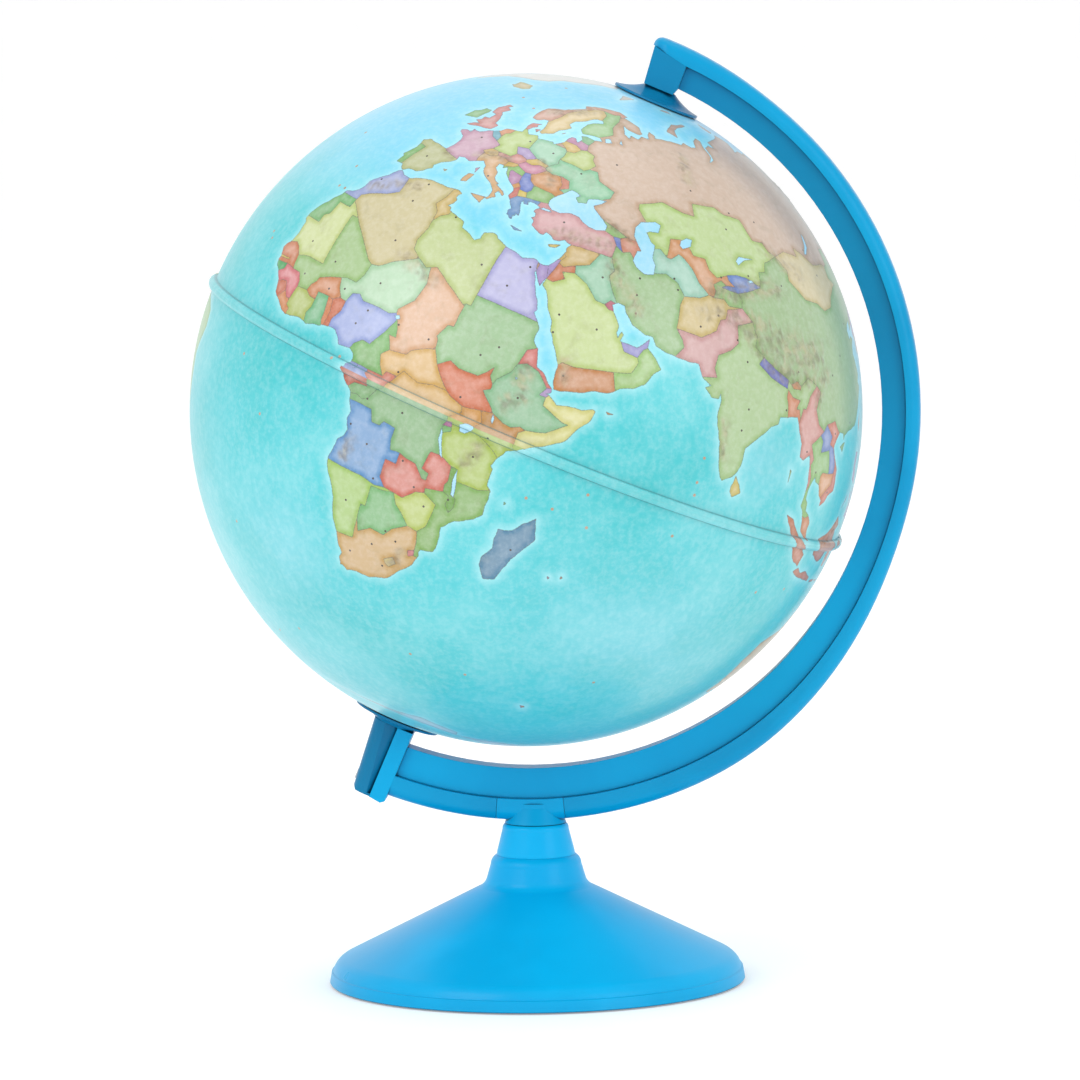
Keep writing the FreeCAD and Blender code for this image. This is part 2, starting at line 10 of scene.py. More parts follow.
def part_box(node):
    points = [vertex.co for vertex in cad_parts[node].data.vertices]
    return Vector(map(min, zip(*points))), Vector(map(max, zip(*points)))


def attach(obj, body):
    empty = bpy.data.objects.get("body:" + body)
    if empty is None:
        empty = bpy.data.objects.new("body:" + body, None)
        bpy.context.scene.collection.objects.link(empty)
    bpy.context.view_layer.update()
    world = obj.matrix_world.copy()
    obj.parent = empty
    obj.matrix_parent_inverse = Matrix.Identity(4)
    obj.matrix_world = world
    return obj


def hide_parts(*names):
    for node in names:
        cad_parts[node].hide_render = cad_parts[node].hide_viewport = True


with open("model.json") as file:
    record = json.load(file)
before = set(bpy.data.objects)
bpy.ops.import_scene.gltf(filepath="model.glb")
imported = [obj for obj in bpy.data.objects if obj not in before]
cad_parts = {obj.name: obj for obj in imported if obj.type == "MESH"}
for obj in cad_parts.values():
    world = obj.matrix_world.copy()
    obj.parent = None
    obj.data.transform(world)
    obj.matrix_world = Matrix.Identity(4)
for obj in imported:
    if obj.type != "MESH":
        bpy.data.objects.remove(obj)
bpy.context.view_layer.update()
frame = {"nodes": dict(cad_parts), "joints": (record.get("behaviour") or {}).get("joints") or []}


# Land outlines: a name, the colour that fills it, then longitude and latitude in turn.
COASTS = """
africa aed68c: -5.9 35.8 -5.3 35.9 -3.9 35.2 -2.2 35.1 -0.6 35.8 1.3 36.5 3.1 36.8 5.1 36.8 6.9 36.9
 9.8 37.3 11 37 10.6 36.4 10.65 35.8 11.1 35.5 10.8 34.7 10.1 33.9 11 33.8 11.2 33.3 13.2 32.9 15.1 32.4
 15.7 31.4 17.8 30.9 19.2 30.3 20.1 30.9 20.05 32.1 21.7 32.9 22.6 32.8 23.1 32.3 24 32.05 25.1 31.7
 27.2 31.4 29 30.85 29.9 31.2 31 31.6 31.8 31.5 32.3 31.25 32.6 31 32.5 29.95 32.4 29.5 33.1 28.4 33.8 27.2
 34.3 26.1 34.9 25.1 35.8 23.9 35.5 23.4 36.6 22.2 37.2 21 37.25 19.6 37.4 18.9 38.2 18.2 38.6 18 39.45 15.6
 39.7 15 40.9 14.7 41.7 13.9 42.7 13 43.1 12.7 43.3 11.95 42.6 11.5 43.2 11.5 43.5 11.35 45 10.45 48.2 11.2
 49.2 11.3 50.75 11.98 51.28 11.83 51.1 10.5 50.85 9.5 49.9 7.98 49.3 6.9 48.55 5.35 47.9 4.5 45.35 2.05
 44 1.1 42.55 -.35 41.55 -1.65 40.2 -2.6 40.1 -3.2 39.7 -4.05 39.1 -5.05 38.8 -6.4 39.4 -6.9 39.5 -8.9
 39.7 -10 40.5 -10.6 40.55 -13 40.75 -15.05 39.9 -16.25 38.2 -17.3 36.95 -18 34.85 -19.85 35.05 -20.95
 35.35 -22 35.55 -23.8 35.2 -24.6 33 -25.3 32.7 -25.9 32.9 -26.4 32.4 -28.4 31.05 -29.85 29.55 -31.65
 27.95 -33.05 26.9 -33.6 25.65 -33.95 24.8 -34.2 22.15 -34.2 20 -34.83 18.9 -34.3 18.47 -34.35 18.4 -33.9
 17.9 -33.05 18.3 -32.1 17.25 -30.3 16.45 -28.6 15.1 -26.65 14.65 -24.8 14.45 -22.95 13.4 -20.9 12 -18.45
 11.75 -17.25 12.1 -15.2 12.55 -13.4 13.5 -12.35 13.8 -11.2 13 -9.2 13.1 -7.85 12.3 -6.1 12.2 -5.55
 11.85 -4.8 9.6 -2.4 8.75 -.65 9.4 .4 9.35 1.2 9.75 1.85 9.9 2.95 9.6 3.85 8.6 4.6 7.1 4.45 6.1 4.3 5.3 5.4
 4.4 6.3 3.4 6.4 1.2 6.15 1 5.85 -.2 5.55 -2.1 4.75 -3.1 5.1 -4 5.25 -5.8 5 -7.7 4.35 -9.05 5 -10.8 6.3
 -12.6 7.4 -13.25 8.45 -13.7 9.5 -14.7 10.4 -15.2 11 -16.1 11.4 -16.75 12.5 -16.65 13.45 -17.5 14.7 -16.5 16
 -16 18.1 -16.3 19.35 -16.4 20.3 -17.05 20.85 -16.9 21.9 -15.95 23.7 -14.9 25 -14.5 26.15 -13.4 27.1
 -12.95 27.95 -11.1 28.75 -10.2 29.4 -9.65 30.4 -9.8 31.5 -9.25 32.3 -7.6 33.6 -6.85 34.05 -6.2 35.2
eurasia d9b79f: 32.2 31.3 33.2 31.1 34.3 31.4 34.75 32.1 35 32.85 35.5 33.9 35.9 35 35.75 35.6 36.2 36.65
 35.4 36.55 34.6 36.75 33.9 36.2 32.8 36.05 32 36.55 30.7 36.85 30.4 36.2 29.6 36.2 28.2 36.7 27.4 37
 27.2 37.8 26.3 38.3 26.9 38.6 26.7 39.3 26.1 39.5 26.2 40.05 26.8 40.6 25.9 40.8 24.4 40.9 23.8 40.7
 24.3 40.15 23.4 40 22.9 40.5 22.6 40.1 23.2 39.1 23.8 38.4 24 37.7 23 37.9 23.4 37.4 22.8 37.4 23.1 36.5
 22.5 36.5 22 36.95 21.7 36.85 21.2 37.8 21.6 38.3 20.7 39 19.9 39.9 19.4 40.4 19.45 41.5 19 42.15 18 42.65
 16.4 43.5 15.2 44.15 14.8 45 14.4 45.3 13.85 44.8 13.5 45.5 12.4 45.4 12.4 44.4 13.5 43.6 14.2 42.5 15 42
 16.2 41.85 15.9 41.5 16.9 41.15 18 40.65 18.5 40.15 18.35 39.8 17.2 40.45 16.5 39.7 17.15 39.1 16.6 38.75
 16.05 37.93 15.65 38.1 15.85 38.65 15.6 40.05 14.8 40.65 13.6 41.2 12.3 41.7 11 42.4 10.5 42.95 10.3 43.6
 8.9 44.4 7.5 43.75 6 43.1 4.5 43.4 3.1 43.1 3.1 42.3 2.2 41.4 .8 40.7 -.3 39.4 .2 38.75 -.5 38.3 -.9 37.6
 -2.2 36.75 -4.4 36.7 -5.4 36.05 -6.3 36.55 -6.95 37.2 -8.95 37 -8.8 38.4 -9.45 38.75 -8.75 40.65 -8.7 41.2
 -8.85 42.2 -9.25 42.9 -8.2 43.5 -7.7 43.75 -5.7 43.55 -3.8 43.5 -1.7 43.35 -1.25 44.65 -1.2 46.1 -2.2 47.2
 -4.35 47.8 -4.75 48.4 -3.2 48.8 -1.6 48.65 -1.8 49.65 -1.2 49.4 .1 49.5 1.6 50.7 2.9 51.25 4.1 52
 4.75 52.95 6.8 53.45 8 53.7 8.8 53.9 8.7 54.9 8.1 55.55 8.2 56.8 10.6 57.7 10.3 56.9 10.9 56.4 10 55.8
 9.7 54.85 10.9 54 12.3 54.3 13.6 54.6 14.3 53.95 16.5 54.5 18.4 54.8 19 54.35 20 54.8 21.05 55.7 21 56.8
 21.6 57.5 22.6 57.7 23.9 57 24.4 58.3 23.5 59 24.7 59.5 28 59.45 29.9 59.9 28.7 60.6 25 60.15 23 59.85
 21.5 60.8 21.4 62.8 23 63.8 25.3 65 24.2 65.8 22.2 65.6 21.2 64.7 19.9 63.5 17.5 62.3 17.2 60.7 18.8 59.9
 18 58.9 16.7 57.9 16.4 56.6 14.4 55.9 13.8 55.4 12.9 55.5 12.7 56.6 11.6 58 10.9 59.2 9.5 59 8 58.1
 6.2 58.1 5.5 59.2 5 61 5.2 62.1 7.7 63.1 10.2 64 12.3 65.8 14.5 67.3 13.4 68.1 16 69.1 18.8 69.9 23.4 70.7
 25.8 71.1 31 70.4 30 69.8 33.3 69.4 37.5 68.7 41.2 67 40 66.2 34.5 66.6 32.5 67.1 34.7 64.6 37.5 63.9 37 65
 40.4 64.6 41 65.9 44.2 66 43.5 67.5 43.3 68.6 46 68 46.5 67 49 67.8 53.5 68.5 59 68.6 60.5 69.8 64.5 69.2
 67 69.6 66.9 71.5 70 73.2 72.8 72.7 72.7 70.8 73.5 68.5 71.7 66.5 74.5 67.8 74 71 78 72.3 82 71.9 80.5 73.6
 87 75 95 76.1 104.3 77.7 110 76.6 113 75.6 106 73.3 113.5 73.6 119.5 73 127 73.4 129 71.4 133 71.6 140 72.6
 147 72.3 152 71 160 69.6 167.5 69.7 176 69.8 183 68 190.3 66.1 187 64.4 182 65.7 177.5 64.7 179.3 62.3
 174.5 61.7 170.3 60 165 59.9 163 58 162.8 56.3 160.3 54.5 158.7 53 156.7 50.9 155.6 53 155.7 56 157 57.8
 161 60.3 164 62.3 160 61.6 157 61.7 154.5 59.6 151 59.3 143.2 59.3 138.2 56.4 135.3 54.7 138 53.8
 141.3 53.2 140.6 50.5 140.3 48.5 138 46.3 135.5 44.4 132 43.2 130.7 42.3 129.7 41.2 127.6 39.8 128.4 38.4
 129.5 36.5 129.2 35.2 126.4 34.5 126.6 37.5 124.9 38 125.2 39 124.4 39.9 121.5 38.8 122.1 40.6 119.5 39.8
 117.7 38.8 119 37.3 120.8 37.8 122.6 37.3 120.3 36.1 119.3 34.8 120.8 33 121.9 31.4 120.9 30.3 122 29.5
 121 28 119.7 26 118.2 24.5 116.5 23 114.2 22.4 112 21.8 110.5 21.2 110.2 20.3 109.6 21.5 108 21.5
 106.6 20.3 105.8 18.8 106.8 17.2 108.6 15.6 109.3 13.5 109.2 11.7 107.1 10.4 106.5 9.6 104.8 8.6 105 9.9
 103.6 10.5 102.6 12 101 12.65 100.5 13.5 99.95 12.6 99.3 10.8 99.3 9.3 100.3 8.4 100.7 7.1 102 6.4 103.3 5
 103.4 3.2 104.2 1.4 103.4 1.35 101.3 2.9 100.4 5.3 99.5 7 98.4 8 98.5 10 98.6 12.4 97.8 14.8 97.3 16.7
 95.4 15.75 94.3 16 94.3 18.3 92.9 20.1 91.8 22.3 90.4 22.2 89 21.7 87 21.6 86.7 20.2 85 19.5 82.4 16.7
 81.1 15.8 80.1 15 80.3 13.2 79.8 10.4 79.1 9.3 78.1 8.7 77.55 8.1 76.9 8.6 76.2 10 75.3 12 74.5 14.5
 73.2 17 72.8 19 72.8 21 72.4 22.2 72.1 21.2 70.8 20.8 69.2 22.1 70.2 22.9 68.5 23.4 67.2 24.6 66.5 25.4
 62.3 25.1 60.6 25.3 57.8 25.7 56.9 27 55.3 26.8 52.4 27.6 50.8 28.9 50 30.1 48.6 30.2 47.9 29.5 48.6 28.2
 50.1 26.6 50.2 25.5 50.8 24.75 50.9 26 51.5 25.6 51.4 24.4 54.4 24.3 56.4 26.3 56.4 24.9 58.6 23.6
 59.8 22.5 58.6 20.5 57.8 19 56.3 17.9 54.1 17 52.2 15.6 49.1 14.5 48 14 45 12.8 43.5 12.7 42.9 14.8
 42.5 16.8 41.1 19.1 39.15 21.3 38.7 23 37.3 24.8 35.6 27.4 34.6 28.1 35 29.5 34.5 28.5 34.25 27.75
 33.2 28.8 32.6 29.9 32.3 30.5
north_america d8d49a: -156.6 71.3 -148.5 70.4 -141 69.6 -135 69.3 -128 70.3 -122 69.7 -115.3 68 -109 67.9
 -107.5 66.9 -102 67.8 -96 67.6 -96 70.5 -94.5 72 -92 70 -90 68.6 -88 67.4 -85.5 69.7 -82 69.6 -81.5 67.5
 -84.5 66.3 -87 65.2 -91 63.5 -94.2 61.3 -94.5 59 -92.5 57 -88 56.5 -82.3 55.2 -82 52.9 -79.5 51.4 -79 54.2
 -76.6 57 -78.5 59 -77.5 62.4 -73.7 62.3 -69.6 61 -69.7 59 -67.5 58.4 -64.5 60.3 -61.8 57.3 -57.5 54.3
 -55.8 52.4 -59 50.4 -66.4 50.2 -71.2 46.9 -68 48.6 -64.4 48.8 -65 46.9 -62.5 45.8 -60 46.4 -61.5 45.1
 -65.7 43.5 -64.5 45.3 -67 44.8 -70.2 43.6 -70.8 42.5 -70 41.8 -73.8 40.9 -72 41 -74 40.4 -75 38.8 -76 37
 -75.5 35.25 -77.9 34 -80 32.5 -81.4 30.4 -80.4 28 -80.2 25.6 -81.2 25.2 -82.7 27.7 -82.9 29.2 -84.2 30.1
 -85.4 29.7 -88.1 30.3 -89.3 29.1 -91.5 29.5 -94.7 29.4 -97.2 27.7 -97.3 25.9 -97.8 22.3 -96.1 19.2
 -94.4 18.1 -91.8 18.6 -90.4 20 -90.2 21.1 -87 21.5 -87.6 19.6 -88.2 17.5 -88.6 15.8 -86 15.9 -83.2 15
 -83.6 12.5 -83.7 11 -82.5 9.3 -80 9.3 -77.4 8.6 -77.6 7.9 -78.6 8.6 -79.5 8.9 -80.4 7.4 -82.9 8.2 -84.5 9.7
 -85.8 10.3 -87.6 12.9 -91.4 13.9 -93.9 16 -96.5 15.65 -99.9 16.8 -102.2 17.9 -104.4 19.1 -105.7 20.4
 -105.5 22.5 -109 25.6 -110.9 27.9 -113.1 31.2 -114.8 31.8 -114.4 30 -111.5 26.5 -110.3 24.2 -109.8 22.95
 -112.1 24.8 -115 27.8 -114.2 28.8 -117.1 32.5 -118.6 34 -120.6 34.6 -122.5 37.7 -124.3 40.4 -124 46
 -124.6 48.3 -122.4 48.2 -124.5 50 -128 51.6 -130.4 54.3 -132 56.5 -136.5 58.2 -140 59.7 -144 60 -147.5 61
 -151.7 59.2 -150.5 61.2 -153.7 59.3 -158 56.6 -164.8 54.6 -161 55.9 -157.5 58.7 -162 58.7 -165.8 61.5
 -164.5 63.1 -161 64.4 -166.3 64.6 -168.1 65.7 -162 66.4 -166.8 68.3 -162 69.9
south_america a9d38b: -78.3 8.4 -76.8 8.3 -75.5 10.5 -74.8 11.05 -71.7 12.4 -71.6 11 -70 12.1 -68.3 10.6
 -64.7 10.2 -62 10.6 -60.9 8.7 -58.2 6.8 -55.2 6 -52.3 4.9 -50 1.8 -50.5 0 -48.4 -.7 -44.2 -2.7 -41.8 -2.9
 -38.5 -3.7 -35.4 -5.2 -34.85 -8.1 -37 -11 -39 -13.5 -39.2 -17 -40.3 -20.3 -42 -22.9 -46.3 -24 -48.5 -25.8
 -48.7 -28.3 -50.3 -30.2 -53.4 -33.7 -54.9 -34.95 -58 -34.3 -56.7 -36.4 -57.6 -38.1 -62 -39 -62.2 -40.6
 -65 -41 -63.7 -42.5 -65.3 -44.2 -67.4 -45.9 -65.8 -47.7 -68.8 -50.2 -68.4 -52.35 -71 -53.8 -74 -52.4
 -75.5 -48.5 -74 -45 -73.2 -41.5 -73.5 -39.8 -73.2 -36.9 -71.6 -33 -71.4 -30 -70.5 -25.5 -70.2 -19.5
 -71.4 -17.6 -76.2 -13.8 -77.1 -12.1 -78.6 -9.1 -79.9 -6.9 -81.35 -4.7 -80 -3 -80.9 -2.2 -80 .8 -78.8 1.8
 -77.2 3.8 -77.5 6.5 -78.3 7.6
greenland f2efe6: -73 78.2 -68 76 -60 76 -55.5 73 -54.5 70.8 -51 69.5 -53.5 66.8 -51.8 64.2 -48.5 61.2
 -44 59.9 -42 62.5 -40 65 -35 66.4 -26 68.5 -22 70.3 -23.5 73 -19 75.5 -18.5 79.5 -12.5 81.5 -33 83.6
 -50 82.5 -62 81.5 -66 79.8
baffin e6dca6: -66 62 -71 62.8 -78 64.5 -73.5 65.6 -73 67.8 -79 69.9 -89 71.2 -85.5 73.5 -80.5 73.6 -71 71
 -67.5 69.3 -62 67 -67.5 64.5
victoria e6dca6: -105 69.2 -101.5 69.7 -105 72.7 -110 73 -118 71.7 -117 70 -113.5 69.2
banks e6dca6: -124.5 71.9 -121 71.6 -117 73.2 -121 74.3 -124.5 73.8
ellesmere e6dca6: -77 76.5 -89 76.5 -87 78.5 -92 81 -85 82.3 -70 83.1 -62 82.4 -72 79.8
devon e6dca6: -80 74.6 -91 74.7 -92 76.4 -81 75.8
melville e6dca6: -106 75 -117 75.3 -115 76.4 -107 76
prince e6dca6: -90.5 73 -93.5 74 -101 73.8 -101 72.3 -96.5 72
southampton e6dca6: -87 63.9 -80.5 63.7 -83 65.4 -86 66
newfoundland d8d49a: -59.3 47.7 -53 46.7 -53 48.5 -55.8 50 -55.6 51.5 -57.6 50.4
vancouver d8d49a: -128.2 50.8 -123.4 48.5 -125.2 48.8
haida d8d49a: -133 54.1 -131.5 54 -131.2 52.2
kodiak c7dd8e: -154.5 57.5 -152.3 58.4 -152.5 57.4
cuba eac79b: -84.9 21.9 -82.5 23.1 -80 23 -74.2 20.2 -77.5 19.9 -78.5 21 -81.8 22.2
hispaniola b9d98f: -74.4 18.4 -72.8 19.9 -69.5 19.5 -68.4 18.6 -71 17.9
jamaica b9d98f: -78.3 18.4 -76.3 18.1 -77.4 17.8
puerto_rico c7dd8e: -67.2 18.45 -65.7 18.3 -67.1 18
trinidad e7a98f: -61.8 10.7 -61 10.8 -61.1 10.1
hawaii c7dd8e: -155.9 20.2 -154.9 19.5 -155.7 19
oahu c7dd8e: -158.2 21.6 -157.7 21.4 -158 21.2
fuego a9d38b: -68.4 -52.7 -70.6 -53.3 -71 -54.4 -69 -55.4 -65.2 -54.7 -67.5 -53.8
falklands c6a8c8: -61 -51.8 -58 -51.5 -58.8 -52.2 -60.8 -52.1
australia f0c98c: 142.5 -10.7 143.5 -12.8 145.3 -14.9 146.1 -17.8 149.2 -21.1 150.8 -23.4 153.2 -25.5
 153.5 -28.3 151.8 -32.9 150 -37.3 146.4 -39.1 144.9 -38.1 143.5 -38.8 140.5 -38.1 139.5 -36 138.4 -35.2
 137.8 -32.7 135.8 -34.8 133.7 -32.2 131 -31.5 126 -32.3 123.8 -33.9 120 -33.9 118 -35.05 115.1 -34.3
 115.7 -32 113.5 -26 114.1 -21.9 116.8 -20.6 121 -19.5 122.3 -18 123 -16.4 125.5 -14.3 127.5 -14 129.5 -15
 130.9 -12.4 132.5 -11.4 136.8 -12.2 135.7 -14.9 139.2 -17.4 140.9 -17.3 141.7 -14.5 142.1 -11.1
tasmania b9d98f: 144.7 -40.8 148.2 -40.9 147.5 -43.3 146 -43.5
new_zealand_north a6cf90: 172.7 -34.5 175.5 -36.6 178.3 -37.7 177 -39.5 175.3 -41.6 174.9 -40 173.8 -39.4
 174.7 -37.8
new_zealand_south a6cf90: 172.7 -40.6 174.2 -41.6 172.7 -43.5 170.8 -45.8 168.5 -46.6 166.5 -45.9
 168.8 -43.8
new_guinea d8956b: 131 -.8 134 -.8 134.9 -3.2 137.8 -1.6 141 -2.6 144.5 -3.9 147.6 -6 147 -6.9 150.8 -10.3
 148 -10.1 144.5 -7.7 143 -9.1 138 -8.3 138.9 -6.8 137.9 -5.2 133 -4 132.2 -2.7 133.8 -2.3 131.3 -1.5
new_britain e7b58f: 148.3 -5.7 152.2 -4.2 151 -6
bougainville e7b58f: 154.7 -5.5 155.9 -6.5 155.3 -6.6
solomons b9d98f: 159.6 -8.3 161.4 -9.4 162.3 -10.5 160.6 -9.8
new_caledonia c6a8c8: 164 -20.1 167 -22.2 165.5 -21.6
vanua b9d98f: 166.7 -14.8 167.2 -15.5 166.7 -15.6
fiji e7b58f: 177.4 -17.5 178.6 -17.8 178 -18.2
sumatra d98a63: 95.3 5.6 97.5 5.2 100.3 2.6 103.6 -.7 106 -3 105.8 -5.8 102.3 -4 100.4 -1 98.8 1.6
java d98a63: 105.2 -6.8 106.7 -6 108.6 -6.8 110.8 -6.4 114.5 -7.8 114.4 -8.7 110 -8 106.4 -7.4
borneo d98a63: 109 1.2 109.6 2 113 3.2 115 5 116.8 7 119.2 5.3 117.8 4.1 119 1 117.5 -.8 116.2 -3.8
 114.5 -4.1 110.2 -2.9
sulawesi d98a63: 119.8 0 120.8 1.3 124.9 1.6 123.5 .5 120.3 .4 121.5 -.9 123.3 -.9 121.5 -2 122.5 -5.2
 121 -3.2 120.4 -5.5 119.4 -5.4 119 -2.7
halmahera d98a63: 127.4 1.9 128.7 1.2 128 -.6
seram d98a63: 128 -3.2 130.8 -3.4 129 -3.6
timor d98a63: 123.6 -10.3 127.2 -8.4 125.2 -9.3
flores d98a63: 119.9 -8.5 122.9 -8.2 122 -8.9
sumbawa d98a63: 116 -8.4 119 -8.3 119 -8.8 116.2 -8.9
luzon b9a5c9: 120.6 18.5 122.2 18.4 121.6 16 124.1 12.8 120.7 13.9 120 16
mindanao b9a5c9: 122 7 123.5 8.6 125.5 9.8 126.4 7.6 125.5 5.7 124 7
samar b9a5c9: 124.4 12.5 125.6 11.2 125 10.1 124.5 11.3
panay b9a5c9: 122 11.8 123.4 10.8 123 9.1 122 10.5
palawan b9a5c9: 117.2 8.4 119.4 11.3 119.3 10.4
taiwan e7b58f: 121.5 25.2 120.9 22 120.1 23.2
hainan a9d08f: 108.7 19.2 110.9 20 110 18.4
kyushu efb6a5: 130 33.4 131.8 33.5 131.4 31.4 130.3 31.2 129.8 32.8
shikoku efb6a5: 132.5 33.9 134.6 34.2 133 32.9
honshu efb6a5: 131 34.1 135.2 34.7 135.8 33.5 136.8 34.6 139.9 35 140.8 35.7 141 38.3 142 39.6 141.4 41.4
 140.3 41.2 139.9 39.6 138.6 37.4 137.3 37.5 135.9 35.7 133 35.6
hokkaido efb6a5: 140.1 41.5 143.2 42 145.5 43.3 144.3 44 141.9 45.5 141.6 43.3 140.3 43.1
sakhalin d9b79f: 142 46 143.5 46.7 142.9 48.2 144.5 49 143.2 52.5 142.8 54.3 142 53.4 142.1 49
sri_lanka ead98a: 79.8 8 80 9.8 81.3 8.5 81.9 7.2 80.6 5.95 79.9 6.8
andaman b4d58c: 92.6 13.6 93 13.4 92.7 11.5
madagascar 6f9fbf: 49.3 -12 50.5 -15.5 49.4 -17.8 48.3 -20.5 47 -25 45.2 -25.6 43.7 -23.5 43.4 -22 44.4 -20
 44.2 -16.3 46.3 -15.7 48 -13.7
comoros 8ccf9a: 43.2 -11.4 43.6 -11.6 43.3 -12
reunion c6a8c8: 55.2 -20.9 55.8 -21.1 55.5 -21.4
mauritius e7b58f: 57.4 -20.1 57.8 -20.3 57.5 -20.6
kerguelen c6a8c8: 68.8 -49 70.2 -49 69.6 -49.7
socotra d9a56e: 53.3 12.6 54.5 12.6 53.7 12.3
britain e9a9a4: -5.6 50.1 -3.5 50.3 -1.3 50.7 1.4 51.2 1.7 52.6 .3 52.9 -.2 54 -1.6 55.5 -3 56 -2 57.4
 -4 57.7 -3.1 58.6 -5 58.6 -6.1 56.7 -5 54.8 -3.1 54.9 -3 53.4 -4.5 53.2 -4.2 52.5 -5.2 51.8 -3 51.4
 -4.2 51.1
ireland a4d59a: -6 53.3 -6.3 52.2 -9.8 51.5 -9.9 53.5 -8.5 54.3 -8.3 55.1 -6.1 55.2 -5.6 54.4
iceland dccb8f: -22.5 65.9 -24.2 65.5 -22 64.3 -22.6 63.9 -19 63.4 -14.9 64.4 -13.6 65.2 -16.3 66.4 -20.5 66
svalbard e6dfd2: 11 79.5 16 80 21 80.1 18.5 78.8 17 76.6 14 77.8
franz_josef d9b79f: 48 80.2 60 80.5 57 81.5 50 81
novaya_zemlya d9b79f: 52 71.2 57.5 70.7 56.5 73 61 75 68.5 76.8 66 77 56 75 52.5 72.5
severnaya d9b79f: 95 79.3 100 78 105 78.5 98 80.9
new_siberia d9b79f: 137.5 75.5 150 75.2 143 73.6
wrangel d9b79f: 178.7 71.1 182.3 71.3 181 70.9
sicily f0c79a: 12.4 37.9 15.6 38.25 15.1 36.7
sardinia f0c79a: 8.2 40.9 9.6 41.1 9.6 39.2 8.4 38.9
corsica dcaec4: 8.6 42.4 9.4 43 9.3 41.5
crete 8fb4e0: 23.6 35.5 26.3 35.2 24.8 34.95
cyprus f0d88a: 32.3 35 34.5 35.65 33.9 34.9 32.7 34.65
mallorca e9d59b: 2.4 39.6 3.4 39.8 3.1 39.3
zealand e8a49c: 11.1 55.7 12.5 56.1 12.2 55.1
gotland f0d79a: 18.2 57.2 19.1 57.9 18.8 57.4
antarctica c4e6ee: 0 -70 10 -70 20 -70 30 -69.5 40 -69 50 -67 60 -67.5 68 -68 72 -70.2 77 -69.3 90 -66.5
 100 -66 110 -66 120 -66.7 130 -66.2 140 -66.7 150 -68.4 160 -70 168 -71.5 171 -72.5 165 -75 164 -78
 180 -78.3 200 -78.5 205 -77 215 -75.5 230 -74.5 245 -74 260 -73 270 -73 280 -73 287.5 -73 292 -70 293 -67
 298 -65 303 -63.3 300 -65 297.5 -68 299 -72 297 -75 302 -77 315 -78 326 -78 331 -76 340 -73.5 350 -71
"""
# Lakes and inland seas, drawn over the land.
WATERS = """
caspian: 51.5 47 53 46.8 53.1 45.2 51 44.7 50.3 44.3 51.8 42.8 52.7 42.5 52.9 41 53 40 53.8 39 53.9 37.3
 52 36.7 50 37.3 49 38.2 49.4 40.3 50.2 40.4 49.2 41.3 47.7 42.8 47.4 44.4 48.3 45.9
black: 28 41.8 27.7 42.6 28 43.4 28.7 44.2 29.7 45.2 30.8 46.4 32.2 46.3 33.4 46 32.6 45.4 33.5 44.5
 35.3 45.1 35.1 46.2 37 46.9 39.2 47.2 38.2 46.3 37 45.3 37.6 44.7 39.7 43.5 41.5 42.5 41.5 41.5 39.7 41
 38 41 36.3 41.4 35.1 42 33.3 42 31.2 41.2 29.2 41.2
marmara: 26.9 40.4 27.5 40.9 28.9 41 29.4 40.7
aral: 58.5 45.4 60 46.4 61.4 46.4 61.2 45 59.3 43.9 58.3 44.4
balkhash: 73.6 45.6 74.5 46.6 79 46.9 76 46.3 74.2 45
issyk: 76.3 42.5 77.5 42.8 78.2 42.6 77 42.2
baikal: 103.9 51.6 106.5 53 109.3 55.7 109.9 55.2 108.2 53.1 105.5 51.6
ladoga: 31 60 32.9 60.6 31.4 61.6 30.1 61
onega: 35 61.3 36.2 61.2 35 62.5
victoria: 31.8 -.7 33 .4 34.2 .1 33.9 -1.3 33 -2.5 32 -2.5
tanganyika: 29.1 -3.4 29.6 -4.5 30 -6.3 31.1 -8.7 30.5 -8.3 29.3 -6
malawi: 34 -9.5 34.7 -11.5 35.2 -14.3 34.6 -14 34.1 -12
chad: 13.5 13.2 14.3 13.6 14.8 13 14 12.7
turkana: 36 4.5 36.5 3.6 36.5 2.4 36.1 3
tana: 37 12.2 37.5 12.1 37.2 11.7
superior: -92 46.7 -89 48.3 -86 48.7 -84.6 46.7 -87.5 46.5 -90 46.8
michigan: -87.5 41.8 -86.3 43 -86.2 44.7 -85 45.9 -86.8 45.8 -87.8 43.5
huron: -84.3 46 -81 46 -80 44.7 -81.7 43.4 -82.5 43.1 -83.7 44 -83.3 45.2
erie: -83.2 41.8 -81 42.6 -79 42.8 -81.5 41.6
ontario: -79.6 43.4 -76.6 44.1 -76.3 43.6 -79 43.3
winnipeg: -98.6 53.7 -97.5 53 -96.5 50.6 -97.6 52
slave: -116.5 61.2 -113.5 62.2 -110 62.7 -114 61
bear: -124 65.9 -120 66.9 -118 66 -122 65.2
titicaca: -70 -15.4 -68.9 -16.3 -69.2 -16.4
"""
